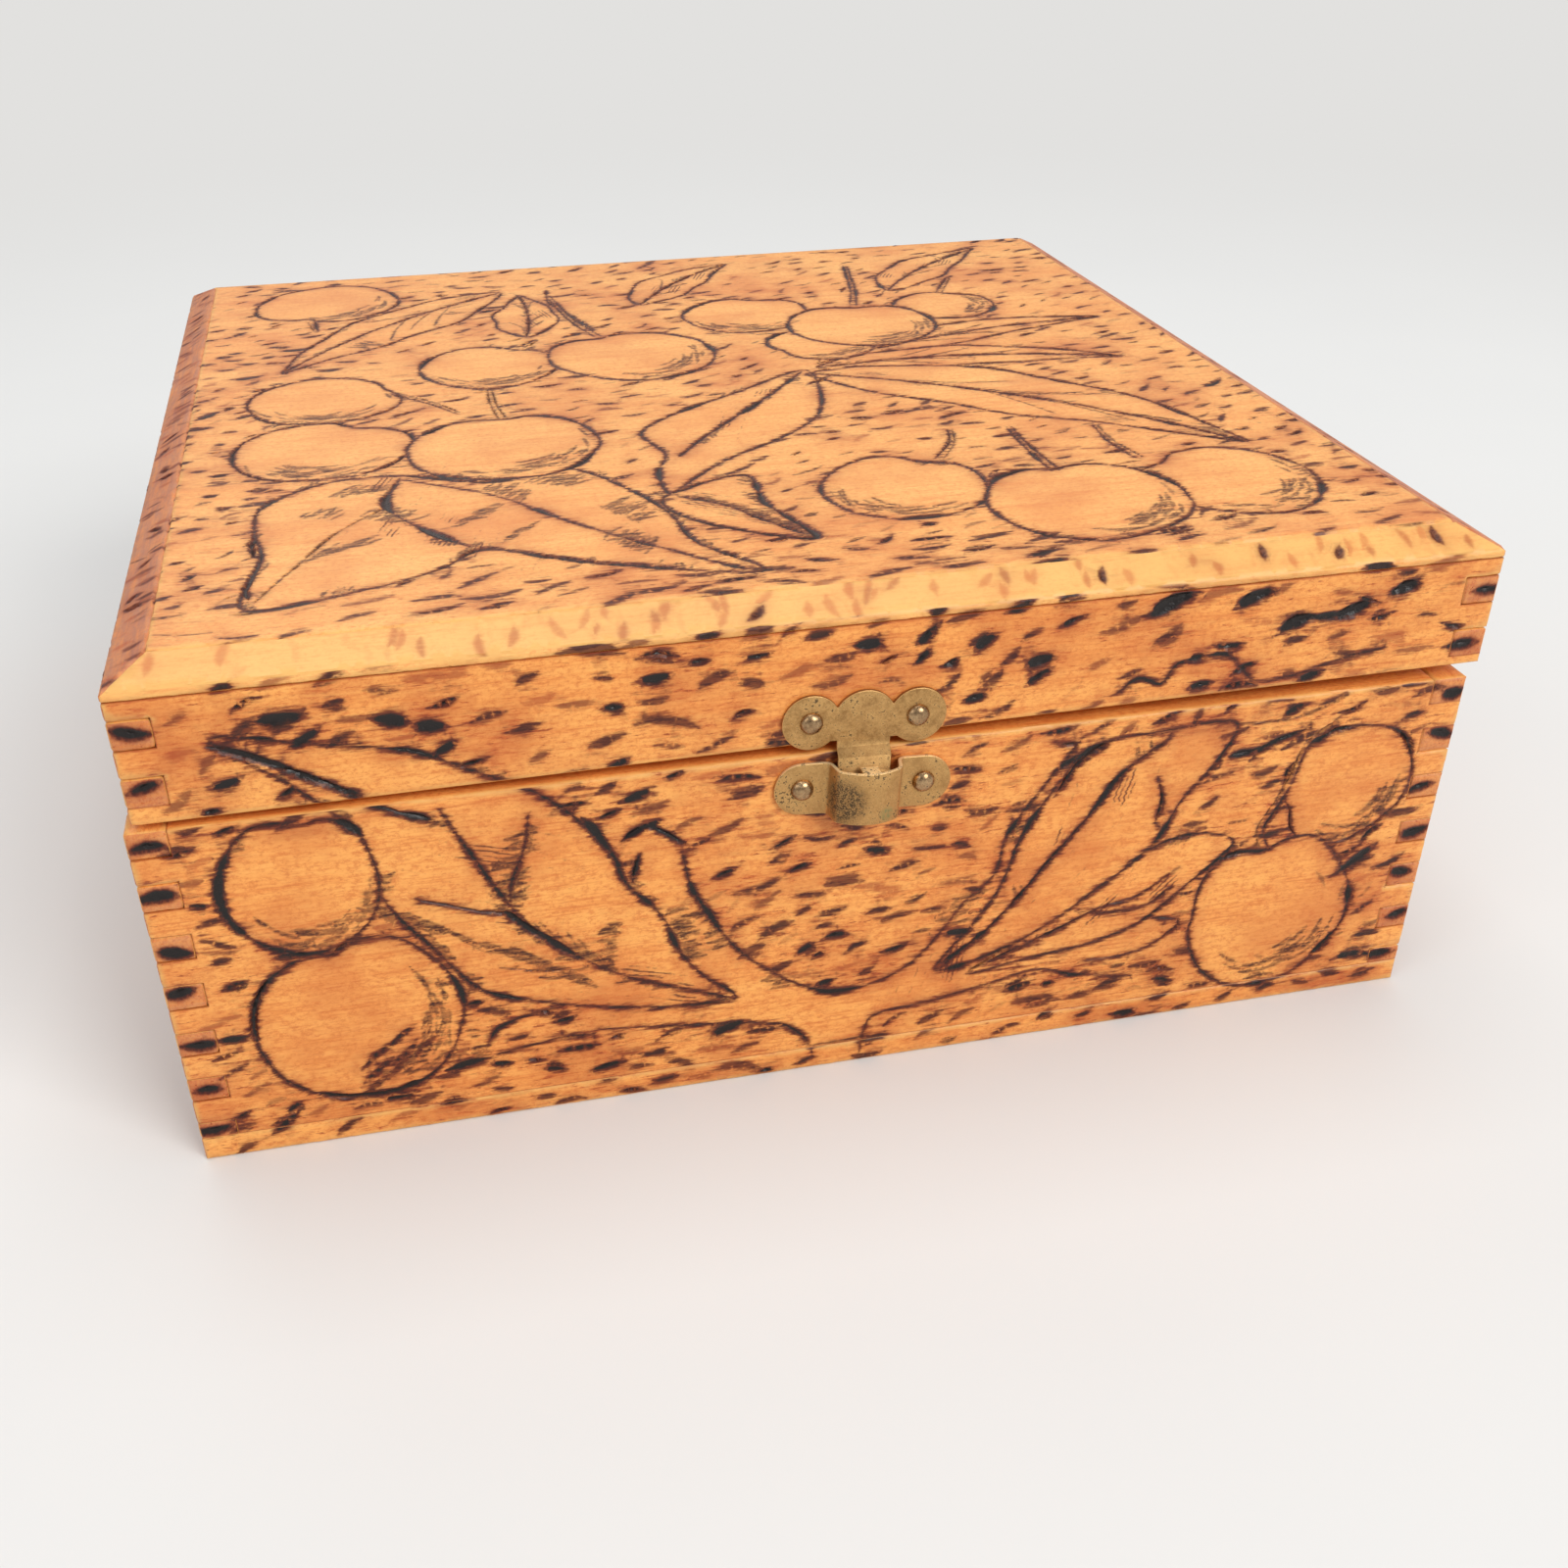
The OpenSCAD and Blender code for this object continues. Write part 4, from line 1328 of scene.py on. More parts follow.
@dataclass
class Ornament:
    """The sketches of all sides: sprays of round fruit and pointed leaves on a dabbed ground."""

    half: float = 114.0
    lid_shift: float = 1.5
    rim: float = 67.0
    lip: float = 90.7
    top: float = 94.0
    bevel: float = 6.6

    def front(self) -> Sketch:
        """The front of the box and of the lid."""
        s = Sketch(11)
        s.fruit((-84, 25.5), 17.0, 100, shade=-20, bold=((138, 186), (236, 300), (88, 100)))
        s.fruit((-89.5, 53.5), 12.8, 84, shade=-70, bold=((140, 222), (36, 62)))
        s.fruit(
            (83.5, 21), 16.6, 104, [(80.6, 35), (78.8, 40), (81, 45), (83, 50), (85, 57), (90, 61)], -65,
            ((-48, -24), (-6, 14), (112, 132)),
        )
        s.fruit((94.5, 47.5), 12.6, 200, shade=-40, bold=((20, 52), (96, 122)))

        hollow = [
            (-28, 53), (-27, 45), (-24, 38), (-19, 29.5), (-12, 22.5), (-5, 18), (0, 16.8), (7, 18), (13, 21),
            (19, 27.5),
        ]
        hollow += [(23, 33), (28, 38), (30, 46), (35, 54), (42, 64)]
        near_arm = [(-44, 16.2), (-32, 14.6), (-20, 13.2), (-11, 11.2), (-7, 8), (-5.5, 5), (-5, 2)]
        far_arm = [(4, 2), (4.6, 6), (7, 10.4), (18, 11.6), (28, 13.4), (38, 15.3), (46, 12.6), (57, 10.6)]
        s.poke(smooth_line(hollow), 0.52, 0.4, 1.0, 0.32)
        s.ticks(smooth_line(hollow[:6]), 3.3, 0.1)
        s.ticks(smooth_line(hollow[9:]), 0.25, 0.12, 3.4)
        s.ticks(smooth_line(hollow[8:]), 3.5, 0.08, 3.0)
        for points, half, depth, thin in (
            (near_arm, 0.42, 0.35, 0.3),
            (far_arm, 0.5, 0.35, 0.34),
            ([(-71, 12), (-60, 14.2), (-51, 15.6), (-45, 15.4)], 0.7, 0.5, 0.4),
            ([(-64, 15.5), (-61.5, 19.5), (-55, 22), (-49, 22.4)], 0.42, 0.3, 0.3),
        ):
            s.poke(smooth_line(points), half, depth, 1.0, thin)
        s.poke(smooth_line([(-8, 5.6), (-3, 5.2), (4, 5.4)]), 0.3, 0.2, 1.0)
        s.poke(smooth_line([(-38, 54.6), (-33.5, 56.8), (-30, 54.6), (-27.2, 52.6)]), 1.15, 0.7, 1.0, 0.6)
        s.poke(smooth_line([(-35, 52), (-36.5, 46.5)]), 0.8, 0.6, 1.0, 0.5)

        wide = [
            (-19.5, 18.5), (-36, 20), (-51, 23.4), (-63, 28.4), (-69.5, 37), (-75, 45), (-79, 54), (-81, 64),
            (-88, 72), (-98.5, 81.5),
        ]
        wide += [
            (-84, 79), (-70, 76), (-59, 70.5), (-51, 66), (-45, 60.5), (-40, 54), (-37, 46), (-32, 39.5),
            (-29, 31), (-25, 25),
        ]
        s.blade(
            wide, [(-20, 19), (-38, 26.6), (-50, 35.5), (-57, 44.5), (-62, 55), (-66.5, 65)], 1.05, 1.5, 0.5,
        )
        for points, half, depth, thin in (
            ([(-67, 62.6), (-73, 65), (-79, 68.6), (-87, 74.6), (-98, 80.6)], 0.95, 0.7, 0.5),
            ([(-72, 48.4), (-66, 46), (-61, 44.2), (-57, 43)], 0.7, 0.5, 0.4),
            ([(-60, 32.6), (-53, 30.6), (-46, 29.8)], 0.4, 0.25, 0.4),
            ([(-52.5, 62), (-54, 55), (-56.5, 49), (-57, 45)], 0.5, 0.3, 0.4),
        ):
            s.poke(smooth_line(points), half, depth, 1.0, thin)
        for points, turn, often, reach in (
            ([(-53, 60), (-56, 52), (-57, 45)], 3.3, 0.4, 3.0),
            ([(-53, 60), (-56, 52), (-57, 45)], 0.2, 0.3, 2.4),
            ([(-78, 47), (-70, 43), (-62, 37)], 2.7, 0.5, 4.0),
            ([(-56, 40), (-48, 34), (-40, 28)], 2.1, 0.4, 4.2),
            ([(-60, 37), (-52, 32), (-44, 27)], 2.8, 0.3, 5.0),
            ([(-80, 45), (-86, 47), (-93, 46)], 0.5, 0.6, 3.6),
            ([(-98, 33), (-94, 37)], -0.8, 0.8, 3.6),
            ([(-68, 33), (-67, 22), (-66, 14)], 0.1, 0.35, 3.0),
            ([(-38, 42), (-40, 36), (-40, 31)], 3.2, 0.3, 2.4),
            ([(-31, 40), (-29, 34), (-28, 29)], 0.1, 0.5, 2.8),
        ):
            s.ticks(smooth_line(points), turn, often, reach)
        for points, half, depth, thin in (
            ([(-58, 43.6), (-55.6, 41), (-52, 37.2)], 1.0, 0.7, 0.7),
            ([(-44, 60), (-41, 55), (-38, 49)], 0.9, 0.6, 0.6),
            ([(-99, 80.4), (-92, 77), (-84, 72.4), (-78, 69)], 0.95, 0.7, 0.7),
        ):
            s.poke(smooth_line(points), half, depth, 1.0, thin)
        s.shapes.append(np.array(wide))
        s.shapes.append(np.array(hollow[:6] + [(-25, 22), (-30, 34), (-35, 44), (-36.5, 53), (-32, 56)]))

        tall = [
            (18, 18.4), (24, 27), (29, 35), (32, 45), (37, 54), (44, 62), (58, 63.6), (70, 63.4), (67.5, 56),
            (62, 49), (57.5, 40), (47, 31), (33, 22),
        ]
        s.blade(
            tall, [(19, 19), (26, 25), (32.5, 32), (38, 39.5), (45, 48.5), (50, 55.5), (58, 61.5)], 1.1, 0.9,
            0.5,
        )
        s.poke(smooth_line([(57, 54), (58.4, 49), (57.6, 44.6)]), 0.8, 0.5, 1.0, 0.4)
        for line in (
            [(19, 20), (23, 22.4), (27.5, 26)], [(31, 30), (35, 35)], [(46, 50.5), (49.5, 55)],
            [(38, 53), (42, 59), (47, 62.4)],
        ):
            s.poke(smooth_line(line), 0.9, 0.6, 1.0, 0.6)
        s.shapes.append(np.array(tall))
        low = [
            (24, 16.6), (36, 18.2), (48, 19.6), (58, 23), (66, 30), (74, 38), (66, 41), (57, 38.6), (46, 31),
            (33, 22),
        ]
        s.blade(low, [(28, 18.6), (40, 23.4), (48, 27), (56, 29), (62, 33)], 1.0, 0.9, 0.4)
        s.poke(smooth_line([(44, 27.4), (51, 26), (58, 26.8), (63, 30)]), 0.5, 0.3, 1.0, 0.3)
        s.shapes.append(np.array(low))
        foot = [(24, 16.4), (36, 18.2), (50, 19.8), (60, 23.4), (65.5, 21.6), (58, 16.4), (46, 15.6)]
        s.poke(smooth_line(foot[3:]), 0.6, 0.4, 1.0, 0.3)
        s.shapes.append(np.array(foot))
        s.shapes.append(
            np.array(
                near_arm + far_arm[:6]
                + [(30, 20), (19, 27), (7, 18), (-5, 18), (-12, 22), (-24, 22), (-44, 20)]
            )
        )
        s.poke(smooth_line([(70, 56.4), (75, 57), (80, 58.8), (85, 60.4)]), 0.85, 0.6, 1.0, 0.5)
        s.poke(smooth_line([(72, 63), (80, 62.6), (86, 64), (91, 66)]), 0.35, 0.2, 0.9)

        s.poke(
            smooth_line(
                [
                    (47, 71.6), (51, 74), (55, 72.4), (58, 76), (66, 76.6), (69.4, 74), (72.6, 71),
                    (80, 71.4), (88, 73.4), (96, 74.6),
                ]
            ),
            0.5, 0.35, 0.95,
        )
        for i in range(7):
            shift = (i % 3) * 2.2 - 2
            s.dab(
                (-84 + 1.5 * i - shift * 0.6, 13.0 + 1.1 * i + shift * 0.9), 7.5, 0.62, 0.72, 0.35,
                1.0 if i % 3 else 0.8,
            )
        for x, z, long in (
            (55.5, 87, 10), (70, 86.3, 8), (78.9, 80.6, 8.5), (88.6, 82.4, 8), (97.6, 85, 6.5),
        ):
            s.dab((x, z), long, 1.5, 0.32, 1.1, 1.0)
        for x, z, long, turn in (
            (-88, 84, 8.5, 0.05), (-72, 81.5, 6, -0.2), (-66, 79.6, 5.5, -0.1), (33, 79, 6, 0.2),
            (3.5, 86, 5, 0.1),
        ):
            s.dab((x, z), long, 1.35, turn, 0.6, 1.0)
        s.ground((-107, 0.6), (107, self.rim), 15, (6.3, 2.8), dark=-0.04)
        s.ground((-105.5, self.rim + 1.5), (108.5, self.lip), 16, (6.6, 3.2), 1.15, (2.8, 8.0), 0.0)
        return s

    def flank(self, seed: int, mirror: int, reach: float = 1.0) -> Sketch:
        """A side or the back: the same kinds of spray, placed afresh.

        Args:
            seed: the sketch's own seed.
            mirror: 1, or -1 for the other way round.
            reach: how far out the sprays spread.

        Returns:
            The sketch.
        """
        s = Sketch(seed)
        m = mirror

        def at(x: float, z: float) -> Point:
            """A point of the spray, turned round where the side is mirrored."""
            return (m * x * reach, z)

        wide = (11.5, 8.5) if m > 0 else (8.5, 11.5)
        s.fruit(at(-86, 36), 15.5, 90 - 20 * m, [at(-80, 49), at(-76, 56), at(-66, 60)], -50)
        s.fruit(at(-60, 22), 13.5, 90 + 15 * m, [at(-63, 34), at(-60, 46), at(-58, 58)], -60)
        s.fruit(at(80, 40), 16.0, 90, [at(80, 54), at(77, 62)], -55)
        s.fruit(at(52, 17), 11.5, 90 + 20 * m, [at(49, 27), at(42, 33)], -45)
        s.leaf(at(-6, 22), at(-44, 60), 5.0 * m, *wide, 1.05, 4)
        s.leaf(at(4, 20), at(40, 63), -5.0 * m, *wide[::-1], 1.05, 4, jag=1.2)
        s.leaf(at(6, 15), at(70, 20), 5.5 * m, 7.5, 7.0, 1.0, 3)
        s.leaf(at(-8, 14), at(-44, 6), 2.5 * m, 6.0, 5.0, 0.9, 3)
        s.twig([at(0, 2), at(-1, 9), at(1, 16), at(-1, 22)], 1.9)
        s.ground((-107, 0.6), (107, self.rim), 10 * m)
        s.leaf(at(-58, 74), at(-12, 79), -2.0, 4.8, 4.8, 0.8, 3)
        s.leaf(at(66, 72), at(18, 82), 2.0, 4.6, 4.8, 0.8, 3)
        s.ground((-108, self.rim + 1.5), (108, self.lip), 8 * m, (5.4, 2.6), 1.05)
        return s

    def lid_top(self) -> Sketch:
        """The top of the lid."""
        s = Sketch(29)
        s.fruit((52, -83), 18.2, 92, [(51.8, -68), (51.4, -55), (51.8, -43)], -50)
        s.fruit((81, -80), 16.2, 130, [(69.5, -65), (68, -55), (68.5, -46)], -40)
        s.fruit((22.5, -69.5), 15.2, 60, [(33, -57), (38, -49), (40, -42)], -120)
        s.fruit((-45.6, -30.5), 18.2, 86, [(-44.6, -14), (-45.6, -4), (-45.4, 6)], -55)
        s.fruit((-80, -24.6), 16.6, 60, shade=-100)
        s.fruit((-79.4, 6.4), 15.2, 20, [(-65, 8), (-58, 0), (-53, -8)], -90)
        s.fruit((-12.6, 22.8), 18.0, 110, [(-18, 40), (-22, 56), (-25, 78)], -45)
        s.fruit((-44.2, 22), 15.0, 60, [(-36, 35), (-32, 40)], -80)
        s.fruit((-78, 84), 16.6, 250, [(-82, 68), (-81, 60)], -60)
        s.fruit((43.6, 34), 17.0, 80, [(46, 51), (50, 66), (54, 88)], -55)
        s.fruit((30.5, 21.5), 12.0, 200, shade=-60)
        s.fruit((19, 49), 14.8, 70, shade=-100)
        s.fruit((67, 46), 12.0, 60, [(70, 58), (76, 70)], -30)
        turned = [
            (21.5, 3), (21.6, -12), (17, -27), (8, -37.5), (-4, -47), (-13, -56), (-19, -63), (-19.5, -52),
            (-16.5, -42), (-19, -29), (-9, -18), (4, -9),
        ]
        s.blade(turned, [(21, 2), (10, -13), (0, -25), (-8, -35), (-14, -44)], 1.15, 1.0)
        s.shapes.append(np.array(turned))
        curl = [(-19, -63), (-4.5, -57), (-3.5, -72), (1.5, -88.5), (-9, -83.5), (-16.5, -77), (-21, -69)]
        s.blade(curl, [(-18, -64), (-11, -70), (-5, -79), (0, -87)], 1.1, 8.0, 0.35)
        s.shapes.append(np.array(curl))
        s.leaf((22, 0.5), (93, -62), 6.5, 15.5, 12.0, 1.0, 6)
        s.leaf((25, 4), (92, -4), 5.0, 8.0, 7.5, 0.9, 4)
        s.leaf((26, 7), (99, 27), 5.0, 8.5, 7.0, 0.9, 4)
        hand = [
            (-66, -42), (-80, -43), (-90, -52), (-91.5, -64), (-90, -76), (-92, -96.5), (-74, -93),
            (-62, -87.5), (-55, -80.5), (-47, -84),
        ]
        hand += [(-36, -91.5), (-11, -100.5), (-19, -86), (-21.5, -71), (-26, -59), (-35, -46), (-50, -49)]
        s.blade(hand, [(-66, -43), (-69, -56), (-64, -68), (-56, -79)], 1.1, 2.2, 0.6)
        s.poke(smooth_line([(-68, -56), (-78, -68), (-84, -80), (-91, -95)]), 0.45, 0.3, 1.0, 0.3)
        s.poke(smooth_line([(-66, -44), (-50, -56), (-38, -72), (-22, -90), (-13, -99)]), 0.5, 0.35, 1.0, 0.3)
        folds = (
            [(-52, -52), (-46, -60)], [(-44, -70), (-50, -78)], [(-74, -60), (-66, -66)],
            [(-84, -58), (-76, -62)], [(-34, -80), (-28, -88)],
        )
        for line in folds:
            s.ticks(smooth_line(line), 0.9, 0.32, 4.5)
        folds = (
            [(-80, -50), (-70, -49)], [(-84, -80), (-76, -74)], [(-60, -72), (-54, -64)],
            [(-46, -50), (-36, -54)], [(-32, -66), (-27, -74)],
        )
        for line in folds:
            s.ticks(smooth_line(line), 0.6, 0.4, 5.5)
        for line in (
            [(12, -6), (4, -14), (-4, -22)], [(30, -6), (46, -22), (62, -36)],
            [(-46, 72), (-62, 58), (-74, 44)],
        ):
            s.ticks(smooth_line(line), -0.5, 0.16, 5.0)
        for line in (
            [(-91, -66), (-91.6, -70), (-91, -75)], [(-91, -84), (-92, -88), (-91.4, -92)],
            [(-48, -83.6), (-36, -90.6), (-24, -95.6)],
        ):
            s.poke(smooth_line(line), 0.95, 0.6, 1.0, 0.6)
        s.shapes.append(np.array(hand))
        s.leaf((-36, 84), (-88, 28), -5.0, 12.5, 9.0, 0.9, 5)
        s.leaf((-34, 43), (-32, 80), -1.5, 9.0, 7.0, 0.9, 4)
        s.poke(smooth_line([(-24.6, 84), (-25.5, 72), (-22, 60), (-18, 45)]), 0.6, 0.35)
        s.leaf((58, 62), (92, 98), 3.0, 8.0, 8.0, 0.85, 4)
        s.leaf((-4, 64), (24, 98), 3.0, 8.0, 8.0, 0.85, 4)
        s.ground((-107, -107), (109, -93), 8, (8.6, 2.8), 0.75, (4.0, 9.5), -0.12)
        s.ground((-107, -93), (-90, 44), 24, (5.4, 2.9), 0.95, (1.8, 4.6), 0.04)
        s.ground((-107, 44), (-90, 107.5), 24, (6.6, 3.3), 0.8, (2.0, 5.0), -0.14)
        s.ground((-90, -93), (109, 107.5), 22, (6.6, 3.3), 0.8, (2.2, 6.2), -0.14)
        return s

    def slope(self, seed: int, end: bool) -> Sketch:
        """One bevel of the lid: faint short dabs across it, more of them on the end grain."""
        s = Sketch(seed)
        faint, dark = (130, 12) if end else (76, 5)
        for _ in range(faint):
            at = (s.rng.uniform(-112, 112), s.rng.uniform(1.5, 6.0))
            turn = math.pi / 2 + s.rng.normal(-0.15, 0.3)
            warmth = s.rng.uniform(0.3, 0.75) if end else s.rng.uniform(0.14, 0.48)
            s.dab(at, s.rng.uniform(1.8, 4.6), s.rng.uniform(0.24, 0.64), turn, 0.04, warmth)
        for _ in range(dark):
            at = (s.rng.uniform(-105, 105), s.rng.uniform(2.5, 5.0))
            long, half, turn = s.rng.uniform(
                2.5, 4.2,
            ), s.rng.uniform(0.5, 0.8), math.pi / 2 + s.rng.normal(0, 0.5)
            s.dab(at, long, half, turn, 0.5, s.rng.uniform(0.7, 1))
        return s

    def sides(self) -> list[Side]:
        """All the sides that are carved."""
        run = math.hypot(self.bevel, self.top - self.lip)
        rise, level = (self.top - self.lip) / run, self.bevel / run
        h, z = self.half, (0.0, 0.0, 1.0)
        made = [
            Side((1, 0, 0), z, (h,), self.finger_ends(self.front(), h, h)),
            Side((-1, 0, 0), z, (h,), self.finger_ends(self.flank(41, 1), h, h)),
            Side((0, -1, 0), z, (h, h - self.lid_shift), self.flank(43, -1)),
            Side((0, 1, 0), z, (h, h + self.lid_shift), self.flank(47, 1, 0.98)),
            Side((1, 0, 0), (0, 1, 0), (self.top,), self.lid_top()),
        ]
        slopes = (
            ((1, 0, 0), (0, level, rise)), ((-1, 0, 0), (0, -level, rise)), ((0, -1, 0), (level, 0, rise)),
            ((0, 1, 0), (-level, 0, rise)),
        )
        for i, (across, up) in enumerate(slopes):
            normal = np.cross(across, up)
            foot = np.array([self.lid_shift, 0, self.lip])
            foot = foot + np.array([-up[0] / level * h, -up[1] / level * h, 0])
            sketch = self.slope(61 + i, i > 1)
            shift = float(foot @ np.array(up))
            sketch.marks = [Mark(m.line + (0, shift), m.half, m.depth, m.heat) for m in sketch.marks]
            made.append(Side(across, up, (float(foot @ normal),), sketch))
        return made

    def finger_ends(self, sketch: Sketch, left: float, right: float) -> Sketch:
        """Presses one dark dab into the end of each finger at both corners of a side."""
        for z in (6.5, 15.6, 25.4, 35.2, 45, 54.8, 64.4, 73.8, 83.6):
            for x in (-left + 3.4, right - 3.2):
                if z > self.rim:
                    x += self.lid_shift
                spot = (x + sketch.rng.normal(0, 0.7), z + sketch.rng.normal(0, 0.6))
                sketch.dab(
                    spot, sketch.rng.uniform(4.4, 7.6), sketch.rng.uniform(0.85, 1.4),
                    sketch.rng.normal(0, 0.2), 0.7, 1.0,
                )
        return sketch


# ---------------------------------------------------------------- brass


class HeadKind(enum.Enum):
    """The form of a nail's head."""

    DOMED = "domed"
    SUNK = "sunk"


@dataclass
class NailRows:
    """Nails in straight rows, made by one Geometry Nodes tree and turned into one mesh."""

    name: str
    nodes: tuple[str, ...]
    body: str
    slot: str
    kind: HeadKind
    head: float
    head_height: float
    shank: float
    length: float
    dents: float = 0.0
    crease: float = 38.0

    def spots(self, node: str) -> np.ndarray:
        """The middles of the two heads of a node, in metres, with the head's outer face as their height."""
        co = np.array([v.co for v in NODES[node].data.vertices])
        middle = (co[:, 0].min() + co[:, 0].max()) / 2
        found = []
        for part in (co[co[:, 0] < middle], co[co[:, 0] >= middle]):
            low, high = part.min(0), part.max(0)
            centre = (low + high) / 2
            if self.kind is HeadKind.DOMED:
                centre[1] = low[1]
            else:
                centre[2] = high[2] if self.body == "box" else low[2]
            found.append(centre)
        return np.array(found)

    def tree(self, material: bpy.types.Material) -> bpy.types.NodeTree:
        """Builds the tree.

        Args:
            material: what the nails are made of.

        Returns:
            The tree, with named inputs for its sizes.
        """
        tree = bpy.data.node_groups.new(self.name + "_rows", "GeometryNodeTree")
        tree.interface.new_socket("Geometry", in_out="OUTPUT", socket_type="NodeSocketGeometry")
        for title in ("Start", "Step", "Row Step", "Turn"):
            tree.interface.new_socket(title, in_out="INPUT", socket_type="NodeSocketVector")
        for title in ("Head Radius", "Head Height", "Shank Radius", "Length", "Dents"):
            tree.interface.new_socket(title, in_out="INPUT", socket_type="NodeSocketFloat")
        for title in ("Rows", "Seed"):
            tree.interface.new_socket(title, in_out="INPUT", socket_type="NodeSocketInt")
        given = tree.nodes.new("NodeGroupInput")

        def add(kind: str, settings: Optional[dict] = None, sockets: Optional[dict] = None) -> bpy.types.Node:
            """Adds a node with its settings first and then its sockets' values or links."""
            made = tree.nodes.new(kind)
            for key, value in (settings or {}).items():
                setattr(made, key, value)
            for key, value in (sockets or {}).items():
                if isinstance(value, bpy.types.NodeSocket):
                    tree.links.new(value, made.inputs[key])
                else:
                    made.inputs[key].default_value = value
            return made

        def number(operation: str, first: object, second: object) -> bpy.types.NodeSocket:
            """Adds a Math node."""
            return add("ShaderNodeMath", {"operation": operation}, {0: first, 1: second}).outputs[0]

        def triple(x: object, y: object, z: object) -> bpy.types.NodeSocket:
            """Joins three numbers to a vector."""
            return add("ShaderNodeCombineXYZ", None, {0: x, 1: y, 2: z}).outputs[0]

        radius, height = given.outputs["Head Radius"], given.outputs["Head Height"]
        thin, length = given.outputs["Shank Radius"], given.outputs["Length"]
        if self.kind is HeadKind.DOMED:
            ball = add("GeometryNodeMeshUVSphere", None, {"Segments": 18, "Rings": 12, "Radius": 1.0})
            spot = add("GeometryNodeInputPosition").outputs[0]
            parts = add("ShaderNodeSeparateXYZ", None, {0: spot}).outputs
            flat = number("MAXIMUM", parts[2], 0.0)
            squared = number("POWER", flat, 0.8)
            lifted = add(
                "GeometryNodeSetPosition", None,
                {"Geometry": ball.outputs[0], "Position": triple(parts[0], parts[1], squared)},
            )
            head = add(
                "GeometryNodeTransform", None,
                {0: lifted.outputs[0], "Scale": triple(radius, radius, height)},
            ).outputs[0]
            foot = 0.0
        else:
            cone = add(
                "GeometryNodeMeshCone", None,
                {
                    "Vertices": 20, "Side Segments": 2, "Fill Segments": 2, "Radius Top": radius,
                    "Radius Bottom": thin, "Depth": height,
                },
            )
            head = add(
                "GeometryNodeTransform", None,
                {0: cone.outputs[0], "Translation": triple(0.0, 0.0, number("MULTIPLY", height, -1.0))},
            ).outputs[0]
            foot = number("MULTIPLY", height, -1.0)
        shank = add(
            "GeometryNodeMeshCylinder", None,
            {"Vertices": 12, "Radius": thin, "Depth": number("MULTIPLY", length, 0.9)},
        )
        low = number("SUBTRACT", foot, number("MULTIPLY", length, 0.44))
        shank = add(
            "GeometryNodeTransform", None, {0: shank.outputs[0], "Translation": triple(0.0, 0.0, low)},
        )
        joined = add("GeometryNodeJoinGeometry")
        tree.links.new(head, joined.inputs[0])
        tree.links.new(shank.outputs[0], joined.inputs[0])

        first = add(
            "GeometryNodeMeshLine", {"mode": "OFFSET"},
            {
                "Count": given.outputs["Rows"], "Start Location": given.outputs["Start"],
                "Offset": given.outputs["Row Step"],
            },
        )
        second = add(
            "GeometryNodeMeshLine", {"mode": "OFFSET"}, {"Count": 2, "Offset": given.outputs["Step"]},
        )
        rows = add(
            "GeometryNodeInstanceOnPoints", None, {"Points": first.outputs[0], "Instance": second.outputs[0]},
        )
        spread = add("GeometryNodeRealizeInstances", None, {0: rows.outputs[0]})
        spin = add(
            "FunctionNodeRandomValue", {"data_type": "FLOAT"},
            {2: 0.0, 3: 6.28, "Seed": given.outputs["Seed"]},
        ).outputs[1]
        turned = add(
            "FunctionNodeRotateEuler", {"space": "LOCAL"},
            {0: given.outputs["Turn"], 1: triple(0.0, 0.0, spin)},
        ).outputs[0]
        placed = add(
            "GeometryNodeInstanceOnPoints", None,
            {"Points": spread.outputs[0], "Instance": joined.outputs[0], "Rotation": turned},
        )
        real = add("GeometryNodeRealizeInstances", None, {0: placed.outputs[0]})
        rough = add(
            "ShaderNodeTexNoise", {"noise_dimensions": "4D"},
            {"Scale": 1400.0, "W": given.outputs["Seed"], "Detail": 0.0},
        )
        centred = add(
            "ShaderNodeVectorMath", {"operation": "SUBTRACT"},
            {0: rough.outputs["Color"], 1: (0.5, 0.5, 0.5)},
        ).outputs[0]
        push = add(
            "ShaderNodeVectorMath", {"operation": "SCALE"}, {0: centred, "Scale": given.outputs["Dents"]},
        ).outputs[0]
        dented = add("GeometryNodeSetPosition", None, {"Geometry": real.outputs[0], "Offset": push})
        dressed = add("GeometryNodeSetMaterial", None, {"Geometry": dented.outputs[0], "Material": material})
        tree.links.new(dressed.outputs[0], add("NodeGroupOutput").inputs[0])
        return tree

